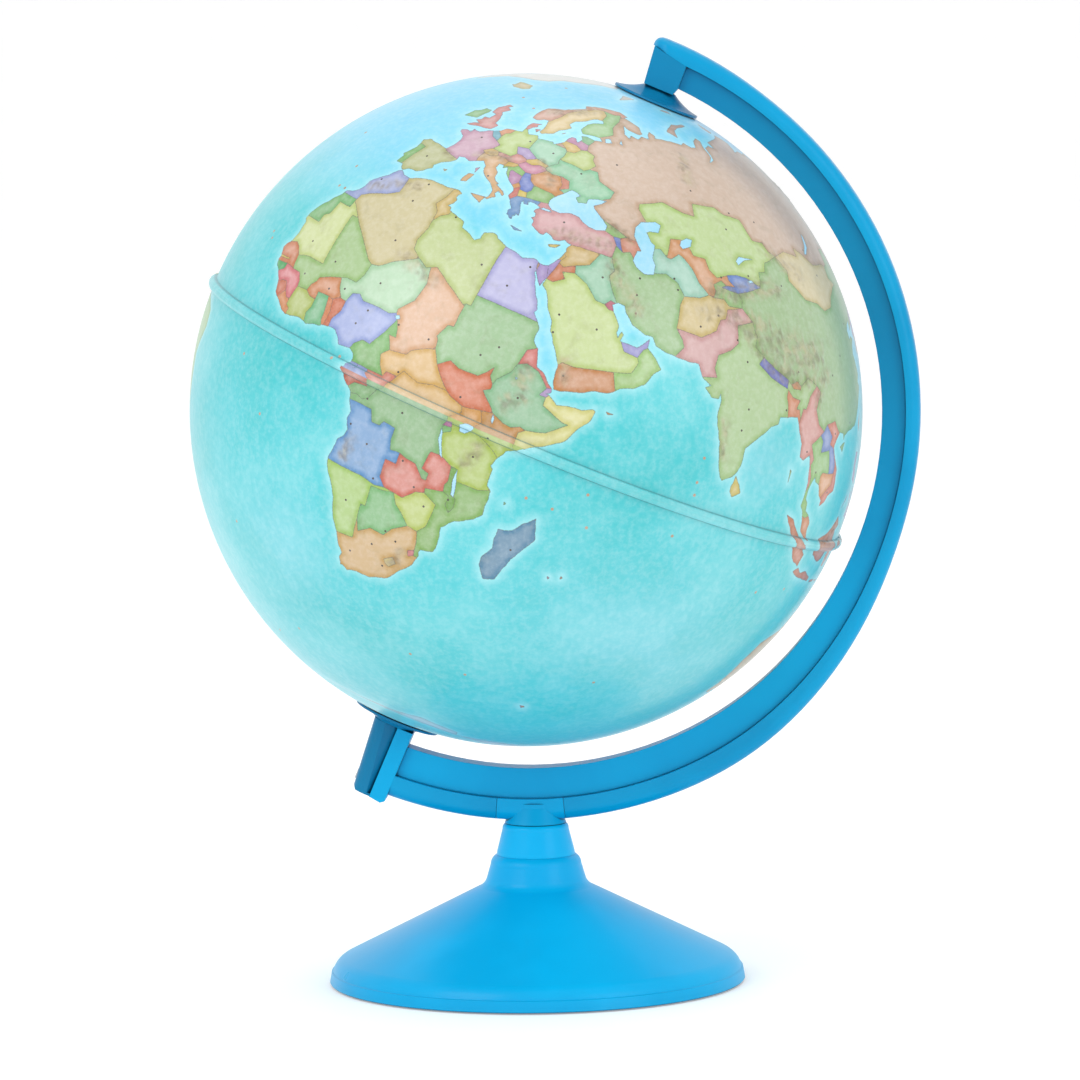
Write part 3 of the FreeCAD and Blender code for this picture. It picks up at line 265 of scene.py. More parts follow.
# Frontiers, each written once, with its ends past the coast or on another line.
BORDERS = """
-2.2 35.5 -1.8 34.4 -1.2 32.3 -3.6 30.9 -7.1 29.6 -8.67 28.7 -8.67 26 -12 26 -12 23.45 -13.1 22.8 -13 21.33
 -17 21.33 -17.3 20.6
-14.5 27.67 -8.3 27.67
-9.1 27.55 -4.83 25 1.15 21.1 3.2 19.6 4.25 19.15 5.8 19.5 7.4 20.8 11.99 23.52 10 24.6 9.4 26.2 9.8 28.9
 9.5 30.3 9.05 32.1 7.6 33.3 8.4 35.2 8.7 37.4
-4.83 25 -6.58 24.99 -5.5 16.4 -5.3 15.5 -9.4 15.5 -11 15.2 -12.2 14.8
9.5 30.3 10.3 31.7 11.5 32.5 11.7 33.7
11.99 23.52 14.2 22.6 15 23 15.98 23.45 23.98 19.5 23.98 20 25 20 25 22 25 29.2 25.2 32.3
25 22 31.3 22 38 22
34.1 31.7 34.9 29.5 35 29.2
4.25 19.15 4.25 16.95 3.5 15.35 1.3 15.3 .2 14.95 1 13.35 2.4 11.9 1.4 11.45 .9 11 -.15 11.1 -2.8 11
 -2.7 9.55 -4.3 9.7 -5.5 10.35
-5.5 10.35 -5.2 11.5 -4.4 12.5 -4.3 13.2 -2 14.2 .2 14.95
-5.5 10.35 -8 10.2 -8.3 11.2 -9.3 12.4 -11.4 12.4 -11.9 13.4 -12.2 14.8 -13.5 16.1 -14.8 16.65 -17.2 16
-11.4 12.4 -13.7 12.65 -17.3 12.3
-13.7 12.65 -13.7 11.7 -15.6 10.4
-17.3 13.6 -13.9 13.6 -13.8 13.4 -17.3 13.1
-13.9 8.7 -12.5 9.9 -11.2 10 -10.3 8.5 -9.3 7.5 -8.4 7.6 -8.2 9 -8 10.2
-10.3 8.5 -11.5 6.95 -11.9 6.5
-8.4 7.6 -8.4 6.4 -7.5 5.8 -7.6 3.9
-2.7 9.55 -2.6 8 -3.2 6.7 -2.8 5.3 -3.1 4.7
-.15 11.1 .5 8.5 .6 7 1.3 5.6
.9 11 1.6 9 1.6 5.8
2.75 5.9 2.7 7.9 3.6 10 3.6 11.7 2.4 11.9
3.6 11.7 4.1 13.5 5.5 13.9 6.8 13.1 10 13.3 12.3 13.1 13.6 13.7 14.1 13.1 14.2 12.5 13.3 10.1 11.7 6.8
 10.1 7 8.85 5.7 8.4 4.2
13.6 13.7 13.5 14.4 15.5 16.9 15.9 20.4 15 23
14.1 13.1 15.1 11.5 15.5 9.97 14.2 9.9 15.1 8.4 15.5 7.5 18.6 8.1 19.1 9 21.7 10.6 22.86 10.95 22.5 12.6
 22 13.2 22.9 15.5 23.98 15.7 23.98 19.5
22.86 10.95 24.2 8.7 25.1 7.6 27.45 5.02
24.2 8.7 26 10.3 27.9 9.6 31.2 9.8 32.4 11.1 33.2 12.2 33.1 10.7 34 9.45
34 9.45 34.3 10.6 36.1 12.7 36.45 14.25 37 17 38.9 18.3
36.45 14.25 37.9 14.9 40.2 14.5 42.4 12.45 43.6 12.8
42.4 12.45 41.8 11 42.9 10.95 43.5 11.8
42.9 10.95 43 9.5 46.9 8 48 8 45 5 41.9 3.95 40.8 4.25 39.5 3.4 38.1 3.6 35.9 4.6 35.3 5.5 33 7.8 34.1 8.6
 34 9.45
41.9 3.95 41 3 41 -.85 41.9 -2.1
35.9 4.6 34 4.2 31.9 3.6 30.85 3.5 28.4 4.3 27.45 5.02
34 4.2 34.9 1.9 33.9 0 33.9 -1 30.45 -1.05 29.6 -1.4 29.6 -.5 29.9 .6 31.2 2.1 30.85 3.5
30.45 -1.05 30.6 -2.4 29.05 -2.7 29.6 -1.4
29.05 -2.7 29.4 -4.4 29.5 -6 30.8 -8.3 32.9 -9.4 34 -9.5 34.6 -11.5 35.8 -11.5 38.5 -11.4 41 -10.4
30.6 -2.4 30.8 -3.3 29.4 -4.4
33.9 -1 37.7 -3.1 39.7 -4.9
34.6 -11.5 34.7 -13.5 35.7 -14.6 35.8 -16 35.3 -17.1 34.3 -16 34.5 -14.5 33.2 -14 33 -12.8 33.4 -12
 32.9 -9.4
33.2 -14 30.2 -14.8 30.4 -15.6 32.9 -16.7 32.7 -19 32.5 -21 31.3 -22.4 31.9 -24.4 32 -25.7 32.1 -26.8
 33.4 -26.9
30.4 -15.6 28.9 -16 27 -17.95 25.25 -17.8 26.2 -19.5 27.7 -20.5 29.4 -22.2 31.3 -22.4
32 -25.7 30.8 -26.3 31.2 -27.3 32.1 -26.8
29.4 -22.2 26.8 -23.9 25.7 -25.5 23 -25.3 20.8 -26.85 20 -24.77 20 -28.4 17.4 -28.7 15.8 -28.6
20 -24.77 20 -22 21 -22 21 -18.3 23.5 -18.2 25.25 -17.8
11 -17.25 14 -17.4 18.4 -17.4 21.4 -17.9 23.4 -17.6 25.25 -17.8
23.4 -17.6 22 -16.2 22 -13 24 -13 24 -10.9 22.3 -11.2 21.8 -9.5 21.8 -7.3 19.5 -7 19 -8 17.5 -8.1 16.6 -5.9
 13.2 -5.85 11.8 -6.05
24 -10.9 25.4 -11.3 27.2 -11.6 29 -13.4 29.8 -13.4 29.8 -12.2 28.4 -11.8 28.7 -9.5 28.9 -8.5 30.8 -8.3
11.6 -5 13 -4.5 14.4 -4.9 15.3 -4.3 16.4 -1.5 17.7 -.5 17.9 1.5 18.6 3.5 19.4 5.1 22.4 4.1 25 5 27.45 5.02
13.1 -5.85 12.5 -5.1 13 -4.5
18.6 3.5 16.6 3.5 16.2 2.2 13.3 2.2 11.3 2.2 9.3 2.3
16.2 2.2 15.1 4 14.4 6.1 15.5 7.5
13.3 2.2 13.4 1.2 14.4 0 14.4 -2 12 -2.4 10.8 -4.2
11.3 2.2 11.3 1 9 1
27 -29.6 28.6 -28.6 29.4 -29.5 28.2 -30.6 27.3 -30.2 27 -29.6
-9.3 41.9 -8.2 42.1 -6.6 41.9 -7 39.7 -7.2 38.2 -7.4 36.8
-1.9 43.6 -1.4 43.1 .7 42.7 3.5 42.4
7.6 43.5 6.9 44.4 7 45.9 6.1 46.4 7.6 47.6 8.2 49 6.4 49.5 4.2 50 2.3 51.3
2.7 52 4.5 51.5 6 50.8 6.4 49.5
6 50.8 6 51.8 7 52.3 7.2 53.8
8 54.9 9.9 54.8 10.3 54.8
14.3 54.2 14.6 52.6 15 50.9 12.2 50.3 13.8 48.8 13 47.6 9.6 47.5 7.6 47.6
7 45.9 9 45.9 10.4 46.6 12.3 46.8 13.7 46.5 16.1 46.8 17.1 48 16.9 48.6 15 49 13.8 48.8
9.6 47.5 10.4 46.6
15 50.9 18.8 49.5 16.9 48.6
18.8 49.5 22.5 49.1 22.1 48.4 20.5 48.5 18.8 47.8 17.1 48
22.5 49.1 24 50.5 23.6 51.5 23.9 52.7 23.5 53.9 22.8 54.4 19.7 54.4 19.2 54.9
22.8 54.4 20.4 55.4
20.7 56.1 24.5 56.3 26.6 55.7 25.5 54.3 23.5 53.9
26.6 55.7 28.2 56.1 27.4 57.5 24 57.9
27.4 57.5 28.1 59.8
28.2 56.1 30.8 55.6 31 54.6 32.7 53.4 31.8 52.1 30.6 51.3 27.2 51.6 23.6 51.5
31.8 52.1 34 52.3 35.4 50.6 40.1 49.6 39.8 47.9 38.2 47.1 38.2 46.6
22.1 48.4 22.9 48 24.9 47.7 26.6 48.2 29.1 48 30 46.4 28.2 45.5 30 45.1
26.6 48.2 28.2 46.6 28.2 45.5
22.9 48 21.2 46.4 20.3 46.1 18.9 45.9 16.5 46.5 16.1 46.8
16.5 46.5 15.6 45.8 13.2 45.2 13.6 45.9 13.7 46.5
18.9 45.9 19.1 44.9 16 45.2 15.8 44.8 17.3 42.5
19.1 44.9 19.4 43.5 18.3 42.3
19.4 43.5 20.3 42.8 18.8 41.5
20.3 42.8 20.5 42.2 21 40.9 19.9 39.6
20.5 42.2 22.4 42.3 23 43.1 22.7 44.2 21.4 44.8 20.3 46.1
22.7 44.2 27 44.1 28.9 43.7
22.4 42.3 22.9 41.3 21 40.9
22.9 41.3 26.3 41.7 28.2 42
26.3 41.7 26 40.5
10.4 58.5 11.3 59.1 12.3 61.5 12.1 63.5 14.6 66.1 18.2 68.5 20.6 69.1 23.6 67.9 24.1 65.4
20.6 69.1 25.7 69.2 28 70.1 28.9 69.1 30.9 69.8 31.5 70.2
28.9 69.1 29.9 67.7 29.6 64.9 31.5 62.9 27.6 60.1
39.5 43.4 43.8 42.6 46.4 41.9 49.2 41.9
41.2 41.5 43.5 41.1 45 41.3 46.4 41.9
45 41.3 46.5 38.9 44.8 39.7 43.5 41.1
46.5 38.9 48 39.6 49.4 38.3
44.8 39.7 44.8 37.2 42.4 37.1 38 36.8 36.6 36.6 35.5 35.9
42.4 37.1 41.2 34.5 38.8 33.4 36.8 32.3 35.7 32.7 35.8 33.3 36.4 34.2 35.7 34.6
35 33.1 35.8 33.3
35.7 32.7 35.5 31.5 34.9 29.4
38.8 33.4 39.2 32.1 37 31.5 38 30.5 36.1 29.2 34.6 29.3
39.2 32.1 42.1 31.1 44.7 29.2 46.5 29.1 47.3 30.1 48.5 29.9
46.5 29.1 47.5 28.5 49 28.5
44.8 37.2 46.1 35.1 45.4 34 46.1 33 47.7 31 48.7 29.8
42.3 16.4 43.2 17.4 45.2 17.4 48.2 18.2 52 19 55 20 55.7 22 55.2 22.7 52.6 22.9 51.3 24.7
52 19 53.3 16.2
55.2 22.7 55.8 24.3 56.7 25
53.4 37.35 56.5 38.2 59.3 37.5 61.2 35.6 60.6 34 60.9 31.5 60.9 29.85 62.7 28.3 63.2 27.2 61.6 24.8
60.9 29.85 66.3 29.9 69.3 31.9 69.9 33.9 71.1 34.3 71.3 36.1 74.9 37.2
61.2 35.6 64.5 36.3 66.5 37.4 67.8 37.2 70.2 37.7 71.6 36.8 74.9 37.2
66.5 37.4 64 39 61.9 41.1 60 42.2 58.5 42.7 56.9 41.3 56 41.3 54 42.3 52 41.7
56 41.3 56 45 58.6 45.6 61.1 44.4 62 43.5 65 43.7 66.1 42 68.3 41 70.9 42.2
67.8 37.2 68.1 38.5 67.5 39.6 69.3 40.8 70.6 40.2 73 40.5 71.2 41.4 70.9 42.2 73.5 42.9 76 43 80.2 42.1
70.6 40.2 69.5 39.6 73.8 39.5 74.9 38.5 74.9 37.2
73.8 39.5 76.5 40.5 80.2 42.1 80.4 45 82.5 45.3 83 47.1 85.7 48.3 87.5 49.1
87.5 49.1 85.3 49.6 83.4 51 80.1 50.8 76.8 54.3 71.2 54.2 68.2 55 61 53.9 61.7 51.3 58.6 51.1 52.3 51.6
 48.5 50 46.8 49.3 47 48.2 49.9 46.1
87.5 49.1 92.3 50.8 98.3 50.5 98.3 52.1 102.2 51.3 107 49.7 114.3 50.3 116.7 49.9
87.5 49.1 91 47 91 45.2 96.4 42.7 101.8 42.5 105 41.6 109.4 42.5 111.9 44.5 116.6 46.3 119.9 46.7 115.7 47.9
 116.7 49.9
116.7 49.9 119.3 50.3 120.8 53.2 125.6 53.1 127.5 50.3 130.5 48.8 134.7 48.4 133.2 45.1 131 44.8 130.6 42.4
 131 42
130.6 42.4 128 42 126.9 41.7 124 39.7
125.7 37.3 127 38.3 129.2 38.7
74.9 37.2 77.8 35.5 74 34 74.6 31.1 73 29.5 70.4 28 70.2 25.7 71 24.4 67.8 23.6
77.8 35.5 79 33 78.7 31.5 81.1 30.2 84 29 88.1 27.9 89 27.3 90.7 28.1 92 27.5 94.2 29.1 97.3 28.3 95.2 26.3
 94.2 23.9 93.3 24 92.7 22 92 20.4
81.1 30.2 80.1 28.9 83.3 27.4 88.1 26.4 88.1 27.9
89 27.3 89.8 26.7 92.1 26.9 92 27.5
92.7 22 92.2 23.6 91.2 23.6 92.2 25.1 89.8 25.3 88.4 26.3 88.2 25 88.7 24 89.1 21.3
97.3 28.3 98.7 27.5 97.6 24.4 99 22.1 101.2 21.2 100.1 20.4 97.4 18.5 98.9 16.2 98.2 15.1 99.2 13.2
 99.2 11.7 98.2 9.8
101.2 21.2 102.1 22.4 105.3 23.3 106.7 22 108.3 21.2
100.1 20.4 101.2 19.5 101 17.6 104 18.3 104.8 16.4 105.5 14.4 103 14.3 102.4 13.6 102.6 11.4
102.1 22.4 104.6 20.6 104 19.3 105.7 18.7 107.5 15.9 107.5 14.6 107.4 12.5 106 11.5 103.9 9.8
105.5 14.4 107.5 14.6
99.3 6.4 101 5.8 102.5 6.5
109.3 1.9 109.9 1 112.5 1.5 114.6 1.4 115.8 4.3 118.3 4.1
141 -2.2 141 -9.5
-141 70.5 -141 60.3 -137.5 58.9 -135.3 59.7 -130 55.9 -131 54.4
-124 48.6 -123 49 -95.2 49 -89.6 48 -84.8 46.6 -82.5 45.3 -82.4 43 -83.1 42 -79 42.8 -79.2 43.4 -76.5 44.1
 -74.7 45 -71.5 45 -69.2 47.45 -67.8 47.1 -67.8 45.7 -66.8 44.4
-117.8 32.5 -114.7 32.7 -111.1 31.3 -108.2 31.3 -106.5 31.8 -104.5 29.6 -103.1 29 -102.4 29.8 -101.4 29.8
 -99.5 27.5 -96.6 25.9
-92.6 14.2 -92.1 15.1 -91.7 16.1 -90.4 16.1 -91 17.8 -89.1 17.8 -87.2 18.8
-89.1 17.8 -89.2 15.9 -88.3 15.9
-90.3 13.4 -89.4 14.4 -88.1 16
-89.4 14.4 -87.2 12.6
-87.8 12.7 -86.8 13.8 -85 14.7 -82.7 15
-86.9 11.1 -83.2 10.9
-83.1 7.9 -82.7 9.8
-77.2 9 -77.9 7
-71.1 12.3 -72.5 11.1 -73 9.3 -72.4 7.4 -70.1 6.9 -67.5 6.2 -67.8 2.8 -66.9 1.2 -69.8 1.7 -69.4 -1.1
 -69.9 -4.2 -70.1 -2.7 -73.2 -2.3 -75.3 -.1 -77.7 .8 -79.2 1.7
-75.3 -.1 -75.6 -1.5 -78.2 -3.4 -79 -5 -80.8 -3.2
-59.7 8.9 -61.2 7.8 -61.4 5.9 -60.7 5.2 -64.8 4.3 -63.4 2.2 -66.9 1.2
-60.7 5.2 -59.8 4.4 -59.9 2.4 -58.8 1.2 -56.5 1.9 -54.6 2.3 -52.9 2.2 -51.2 4.6
-56.5 1.9 -58 4 -56.8 6.9
-54.6 2.3 -54.4 4 -53.9 6.2
-69.9 -4.2 -73 -5.5 -73.9 -7.3 -73.2 -9.4 -70.6 -9.6 -70.6 -11 -69.6 -10.95 -68.9 -12.5 -69.2 -15.2
 -69.6 -17.5 -71.4 -18.8
-69.6 -10.95 -65.4 -9.8 -65.3 -11.8 -60.3 -13.8 -60.2 -16.3 -58.3 -16.3 -57.6 -18.2 -58.1 -20.1 -59.1 -19.3
 -61.9 -19.7 -62.6 -22.2 -66.2 -21.8 -67.2 -22.8 -68.2 -21.6 -69.6 -17.5
-58.1 -20.1 -57.9 -22.1 -55.8 -22.3 -54.6 -25.6 -55.9 -27.3 -58.6 -27.2 -57.8 -25.2 -62.6 -22.2
-54.6 -25.6 -53.7 -26.9 -57.6 -30.2 -55.6 -30.9 -53.5 -32.5 -53 -34.1
-57.6 -30.2 -58.2 -33 -57.7 -34.8
-67.2 -22.8 -68.4 -24.5 -68.5 -27 -70 -29.5 -70 -33.3 -71 -36.5 -71.8 -42 -71.7 -44.8 -72 -47.8 -73.3 -50
 -72 -52 -67.9 -52.2
-68.6 -52.4 -68.6 -55.8
-71.7 20.2 -71.7 17.6
"""
# Countries: a point inside each and its colour.
LANDS = """
-6 32 b6c2ef -14 24.5 93cf8a 2 28.5 e0d39b 9.3 35.2 e8cf8d 17 27 cfe094 29 27 c8c6f4 -10 20 dfec9f
-2 18 b0d68d 9 17.5 bfe8bd 18.5 14.5 eebc92 30 16 a9d59c -14.6 15 e5946a -15 12.1 6fc07c -15 13.35 f1d56f
-11.5 11 ee8f93 -11.8 8.7 e0815e -9.5 6.4 eda06a -5.5 7.5 c7d67c -1.2 7.8 8ccf9a -1.7 12.5 e8a377 1 8 ef9f74
2.2 9.8 e5855f 8 9.8 a9b9f0 12.5 5.2 8fc97a 20 6.5 efc47c 30.5 7.5 e98357 39 15.4 ee9a93 38.5 8.5 9fd3a5
42.4 11.7 c9b0dd 46.5 5 f0ec9e 38 .5 dfa96a 32.3 1.6 eeb05f 30 -2 cf8fb5 30 -3.3 93cf8a 35 -6.5 c3da72
23 -3 9ccb92 16 .6 ee9c86 11.7 -.5 d9806b 10.6 1.6 a7b6ea 17.5 -12 7eb0e4 26.5 -14.8 e98c7c
33.7 -12.5 8fbf6d 38.5 -14.5 9cc977 29.5 -19 cfe07c 24 -22 93d08e 16.5 -20.5 bce082 24 -30 e5bd7f
28.2 -29.6 e6d5a0 31.5 -26.5 e99a9a -8.1 39.5 9ccf86 -4 40 cfd39a 2.5 47 dcaec4 4.5 50.6 8fc8d8
5.6 52.2 f2b28c 10 51.3 cbe28f 9.2 56.2 e8a49c 8 46.8 efcf8b 14.5 47.3 e8a9a0 12.5 42.8 f0c79a
15.3 49.8 c9b5e0 19.5 48.7 f0d27a 19.5 47 e3a1b8 19 52 aee3c0 24 55.5 ecd08a 25 57 d7a2bf 25.8 58.8 9cd0a0
21.2 54.75 d9b79f 28 53.5 cfe08e 31 49.5 a2dfb4 28.7 47.2 e7a58f 25 46 e2a66c 21 44 8a9ce0 16.5 45.6 a8d68c
14.8 46.1 e6c67a 17.8 44.2 cf9fc4 19.3 42.8 efb072 20 41 e58f83 21.7 41.6 f0d97c 25 42.7 a7d38d
22 39.5 8fb4e0 9 61 e7b6a0 15 62 f0d79a 26 63 aedc9b 33 39.2 e8b2b4 27.3 41.2 e8b2b4 43.3 42.2 aed893
44.7 40.4 8a9ce0 48 40.5 e9a68f 38.5 35 e6c98c 43.5 33 ace0be 35 31.4 c5b1e4 36.7 31 e8a182 47.5 29.3 d98d9b
45 24 d6ea9a 47 15.7 e0a06e 56.5 21 b4dc8c 54 23.7 b9b6ea 54 32.5 abd395 65 34 e6cf8d 69 29 e6b4b1
59 39.8 b3e6cf 63 41.8 ecb387 71 38.5 a9d58f 74.5 41.3 86a5e6 68 48 cae695 85 60 dfbfa3 104 46.5 e8d79d
104 33 a9d08f 127 40 cf9fc4 128 36.5 f0b28c 78 22 bbdd9c 84 28 8a92d8 90.5 27.3 e2a06c 90 24 eea886
96 21 e8a89d 101 15.5 a6d689 103.5 19 8fa6de 105 12.7 f0b07a 106.2 20.7 e6937b 108.2 13.8 e6937b
102.3 4 e29b6c 114 2.8 e29b6c 114 -1 d98a63 144 -6 e7b58f 138 -4 d98a63 -152 65 c7dd8e -110 58 ead9a4
-100 40 c7dd8e -103 24 e9b184 -88.6 17.2 cf9fc4 -90.3 15 a6d68f -89 13.7 e8918a -86.5 15 f0d07f
-85 12.7 b5dd93 -84 10.2 e2a2c0 -80.5 8.5 8fc8d8 -72 5 eebd8d -66 7 b6dc8d -58.8 4.5 e79e92 -56 4.3 efd68b
-53.2 3.8 c6a8c8 -52 -10 aad68a -78.5 -1.5 c9b5e0 -75.5 -10 e8ce8f -65 -17 e29b86 -58.5 -23.3 f0cf78
-66 -35 e5b0bd -56 -33 8ed0c0 -71 -31 cbe08d -73 -48 cbe08d -70 -53.6 cbe08d -67.5 -54.3 e5b0bd
-72.5 19 e8a377 -70.2 18.9 b9d98f
"""
# Mountain chains, which are embossed and shaded: their width in degrees, then their line.
RANGES = """
2.2: 73 35 78 33 84 29.5 90 28.5 97 29
4: 78 34.5 85 33 92 33 98 33
2: 67 38.5 72 39 78 41.5 86 43
1.8: 84 50 90 48 97 47
1.6: 66 34 70 35.5
1.8: 45 36.5 48 33.5 53 29.5
1.2: 40 43 44 42.6 47.5 41.5
1.6: 33 37.5 38 38.5 43 39
1.2: 6.5 45 9 46.5 13.5 47
.9: 20 49.3 25 47.5 25.5 45.5
.8: -1 42.8 2 42.5
1.2: -8 31 -4 33 2 35
1.8: 38 13.5 39 9.5 37 7
1.6: 37.3 0 36 -3 35 -8
1.2: 29 -29.5 30 -26.5
1.5: 17.5 21 8 23
1.3: 15 -12.5 14.5 -16
1.4: 43.5 17.5 44.5 15
1.4: 58 65 59.5 58
1.6: 8 61.5 14 65 18 68
1.2: 74.5 18 76 12
1.5: 130 66 140 62 148 62
1.5: 98 25 99 29 102 31
2: -150 62 -138 61 -128 56 -120 51 -114 46 -108 40 -106 36
1.5: -120 44 -119.5 38 -117 34
1.8: -106 27 -103 23 -98 18.5
1.2: -84 35.5 -79 39 -73 43
1.6: -76 6 -78 -1 -77 -8 -71 -14 -68 -19 -69 -28 -70.5 -35 -72 -44
1.4: 147 -36.5 150 -31 147 -22
1: 168 -45 172 -42
1.2: 137 -4 143 -5.5 147 -8.5
1.2: 137.5 36.5 140.5 39
1: 114 1.5 116.5 5
2.2: -65 -76 -90 -79 -60 -84
2: 165 -74 160 -80
"""
# Unnamed towns: longitude and latitude in turn.
TOWNS = """
31.2 30 29 25.5 13.2 32.6 32.5 15.6 30.2 13.2 38.7 9 36.8 -1.3 35.7 -6.2 15.3 -4.4 28.3 -15.4 31 -17.8
28.2 -25.7 17.1 -22.6 25.9 -24.7 47.5 -18.9 7.5 9.1 8.5 12 2.1 13.5 8 17 -8 12.6 -3 16.8 15 12.1 18.6 4.4
46.7 24.6 39.8 21.4 39.6 24.5 44.2 15.4 44.4 33.3 51.4 35.7 51.7 32.7 52.5 29.6 59.6 36.3 69.2 34.5
65.7 31.6 74.3 31.6 77.2 28.6 88.4 22.9 79.1 21.1 78.5 17.4 32.9 39.9 37.6 55.8 71.4 51.2 76.9 43.5
69.3 41.4 58.4 38 87.6 43.8 91.1 29.7 116.4 39.9 108.9 34.3 104 30.7 113.3 23.4 106.9 47.9 104.3 52.3
82.9 55 73.4 55 60.6 56.8 30.5 50.5 21 52.2 13.4 52.5 2.3 48.7 -3.7 40.4 12.5 42.1 3 35.8 2.9 31.9 5.6 24.5
-7.6 32.8 -11 18 -1 12.3 23 27 21 12 30 5 22 -4 18 -12 21 -17 14 -10 34.5 -15 25 -12 20 -31 27 -31 24 -28
-74 41.3 -77 38.9 -87.6 41.3 -95 30 -99.1 19.4 -118 34.3 -74 4.7 -66.9 10 -77 -11.8 -47.9 -15.8 -46.6 -23
-58.6 -34.9 -70.7 -33.5 -79.4 43.9 -113.5 53.5 149 -35.3 145 -37.3 133.9 -23.7 116 -31.9 139.7 35.9
135.5 34.9 127 37.6 100.5 14.2 96.2 17.2 105.8 21.2 106.7 11.2
"""
# Small islands.
ISLETS = """
55.5 -4.6 57.6 -10.4 51 -9.5 46.3 -9.4 73.2 4 72.8 6.5 72.4 -6.5 69.5 -49.3 51.5 -46.4 37.8 -46.8 77.5 -37.8
-5.7 -16 -14.4 -8 -12.3 -37.1 -24 16 -23 14.9 -16 28.3 -14 28.4 -17 32.7 -28 38.6 105.6 -10.5 96.9 -12.1
72.6 11 6.6 .8 7.4 1.9 3.4 -54.4 -36.8 -54.3 166 -50.7 159 -54.6 -10.9 -59 -26 -58 -45 -60.6 -109.3 -27.1
-149.5 -17.6 -90.8 -.7 144.8 13.5 134.5 7.4 -64.7 32.3 -7 62 2 60.5 -8.7 71
"""

# ---------------------------------------------------------------- places on the ball
MM = 0.001
JOINT = frame["joints"][0]
CENTRE = np.array(JOINT["pos_m"], float)
NORTH = np.array(JOINT["axis"], float)
BACK = np.array((0.0, 1.0, 0.0))
RIGHT = np.cross(BACK, NORTH)
BEAD_HEIGHT = 2.3 * MM
BEAD_HALF = 2.1 * MM        # half the bead's width
BALL_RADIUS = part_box("north_hemisphere")[1].y - BEAD_HEIGHT
WALL = 1.3 * MM
FRONT_LONGITUDE = 38.8      # the meridian that faces the front
BEAD_LATITUDE = math.degrees(BEAD_HALF / BALL_RADIUS)
HOLE_LATITUDE = 87.8        # the edge of the hole for the pole's bush
RIDGE_DEPTH = 0.035         # the bead's fine ridges, as a share of its height
RIDGE_TURNS = 5             # half waves of ridges between the middle of the bead and its edge

# How the map is printed and drawn; all angles are in degrees.
MAP_SQUEEZE = 2.3           # how much closer to the joint the map is printed
SQUEEZE_REACH = 5.0         # how far from the joint the squeeze takes to grow
STEP = 0.6                  # between points on a drawn line
COAST_WANDER = 0.30         # how far lines stray from their listed points
LAKE_WANDER = 0.18
BORDER_WANDER = 0.10
WANDER_SEED = 5             # noise_vector takes its place from this; unset, it takes the clock's
WIDE_NOISE = 21
FINE_NOISE = 48
FINE_SHARE = 0.4
EQUATOR_GAP = 0.05          # no point of a line lies nearer the equator, except on it
CROSSINGS_A_DEGREE = 2      # lines cross the equator at half and whole degrees
TOWN_RADIUS = 0.20
ISLET_RADIUS = 0.28
DOT_SIDES = 8
TOWN_COLOUR = "4a3a30"
ISLET_COLOUR = "c9a27c"

# The hemispheres' meshes.
RING_POINTS = 720           # round the joint
HOLE_POINTS = 48            # round the hole at the pole
LATTICE_POINTS = 50000
INNER_POINTS = 1500
BEAD_ROWS = (0.1, 0.2, 0.31, 0.42, 0.53, 0.64, 0.75, 0.85, 0.93, 1.0, 1.1)
KEY_SCALE = 1e6             # chart points that agree to this are one point
MERGE_DISTANCE = 1e-7
SLIVER_AREA = 1e-10

# Kinds of line, where the lowest wins if two lie on one edge, and kinds of region.
COAST, BORDER, LAKE, DOT, SEAM = 1, 2, 3, 4, 5
SEA, WATER, LAND = 0, 0.5, 1

# Distances in millimetres that the map's fields hold where there is nothing to measure.
NO_LINE = 9.0
BETWEEN_LINES = 0.1
BESIDE_LINE = 0.25
OFF_LINE = 1.2
FAR_AWAY = 20.0
INNER_LATITUDE = 45.0

# The embossed hills.
RELIEF_HEIGHT = 0.4 * MM
RIDGE_NOISE = 55
CRUMPLE_NOISE = 120
FAINTEST_HILL = 0.03
RANGE_STEP = 0.1            # between samples, as a share of a leg of the chain

# The sea's colours, and patches of them: longitude, latitude, width and height in degrees.
SEA_BASE = "45c0c8"
SEA_DEEP = "2ab6bc"
SEA_PALE = "84ccd8"
SEA_NORTH = "7ccaea"
SEA_SHORE = "b4e4ea"
LAKE_COLOUR = "9fd0ea"
SHORE_WASH = 2.2            # millimetres
DEEP_PATCHES = ((-4, -3, 16, 9), (57, -3, 11, 12), (66, 4, 9, 8), (20, -45, 30, 7), (-40, 5, 20, 25),
                (100, -20, 25, 20))
PALE_PATCHES = ((85, 12, 8, 6), (-150, 20, 40, 30), (78, -25, 22, 14), (-25, 35, 20, 12), (5, -35, 12, 10))
ENCLOSED_SEAS = ((38, 20, 6, 10), (51, 27, 5, 3), (18, 37, 16, 5))


def outward(lon, lat):
    """Directions from the ball's centre, for longitudes and latitudes in degrees."""
    east = np.radians(np.asarray(lon, float) - FRONT_LONGITUDE)
    rise = np.radians(np.asarray(lat, float))
    level = np.cos(rise)
    return (np.multiply.outer(level * np.sin(east), RIGHT)
            - np.multiply.outer(level * np.cos(east), BACK)
            + np.multiply.outer(np.sin(rise), NORTH))


def printed(lat):
    """A latitude as the map is printed, a little closer to the joint than it should be."""
    lat = np.asarray(lat, float)
    grown = 1 - np.exp(-np.abs(lat) / SQUEEZE_REACH)
    return lat - MAP_SQUEEZE * np.sign(lat) * grown * np.cos(np.radians(lat))


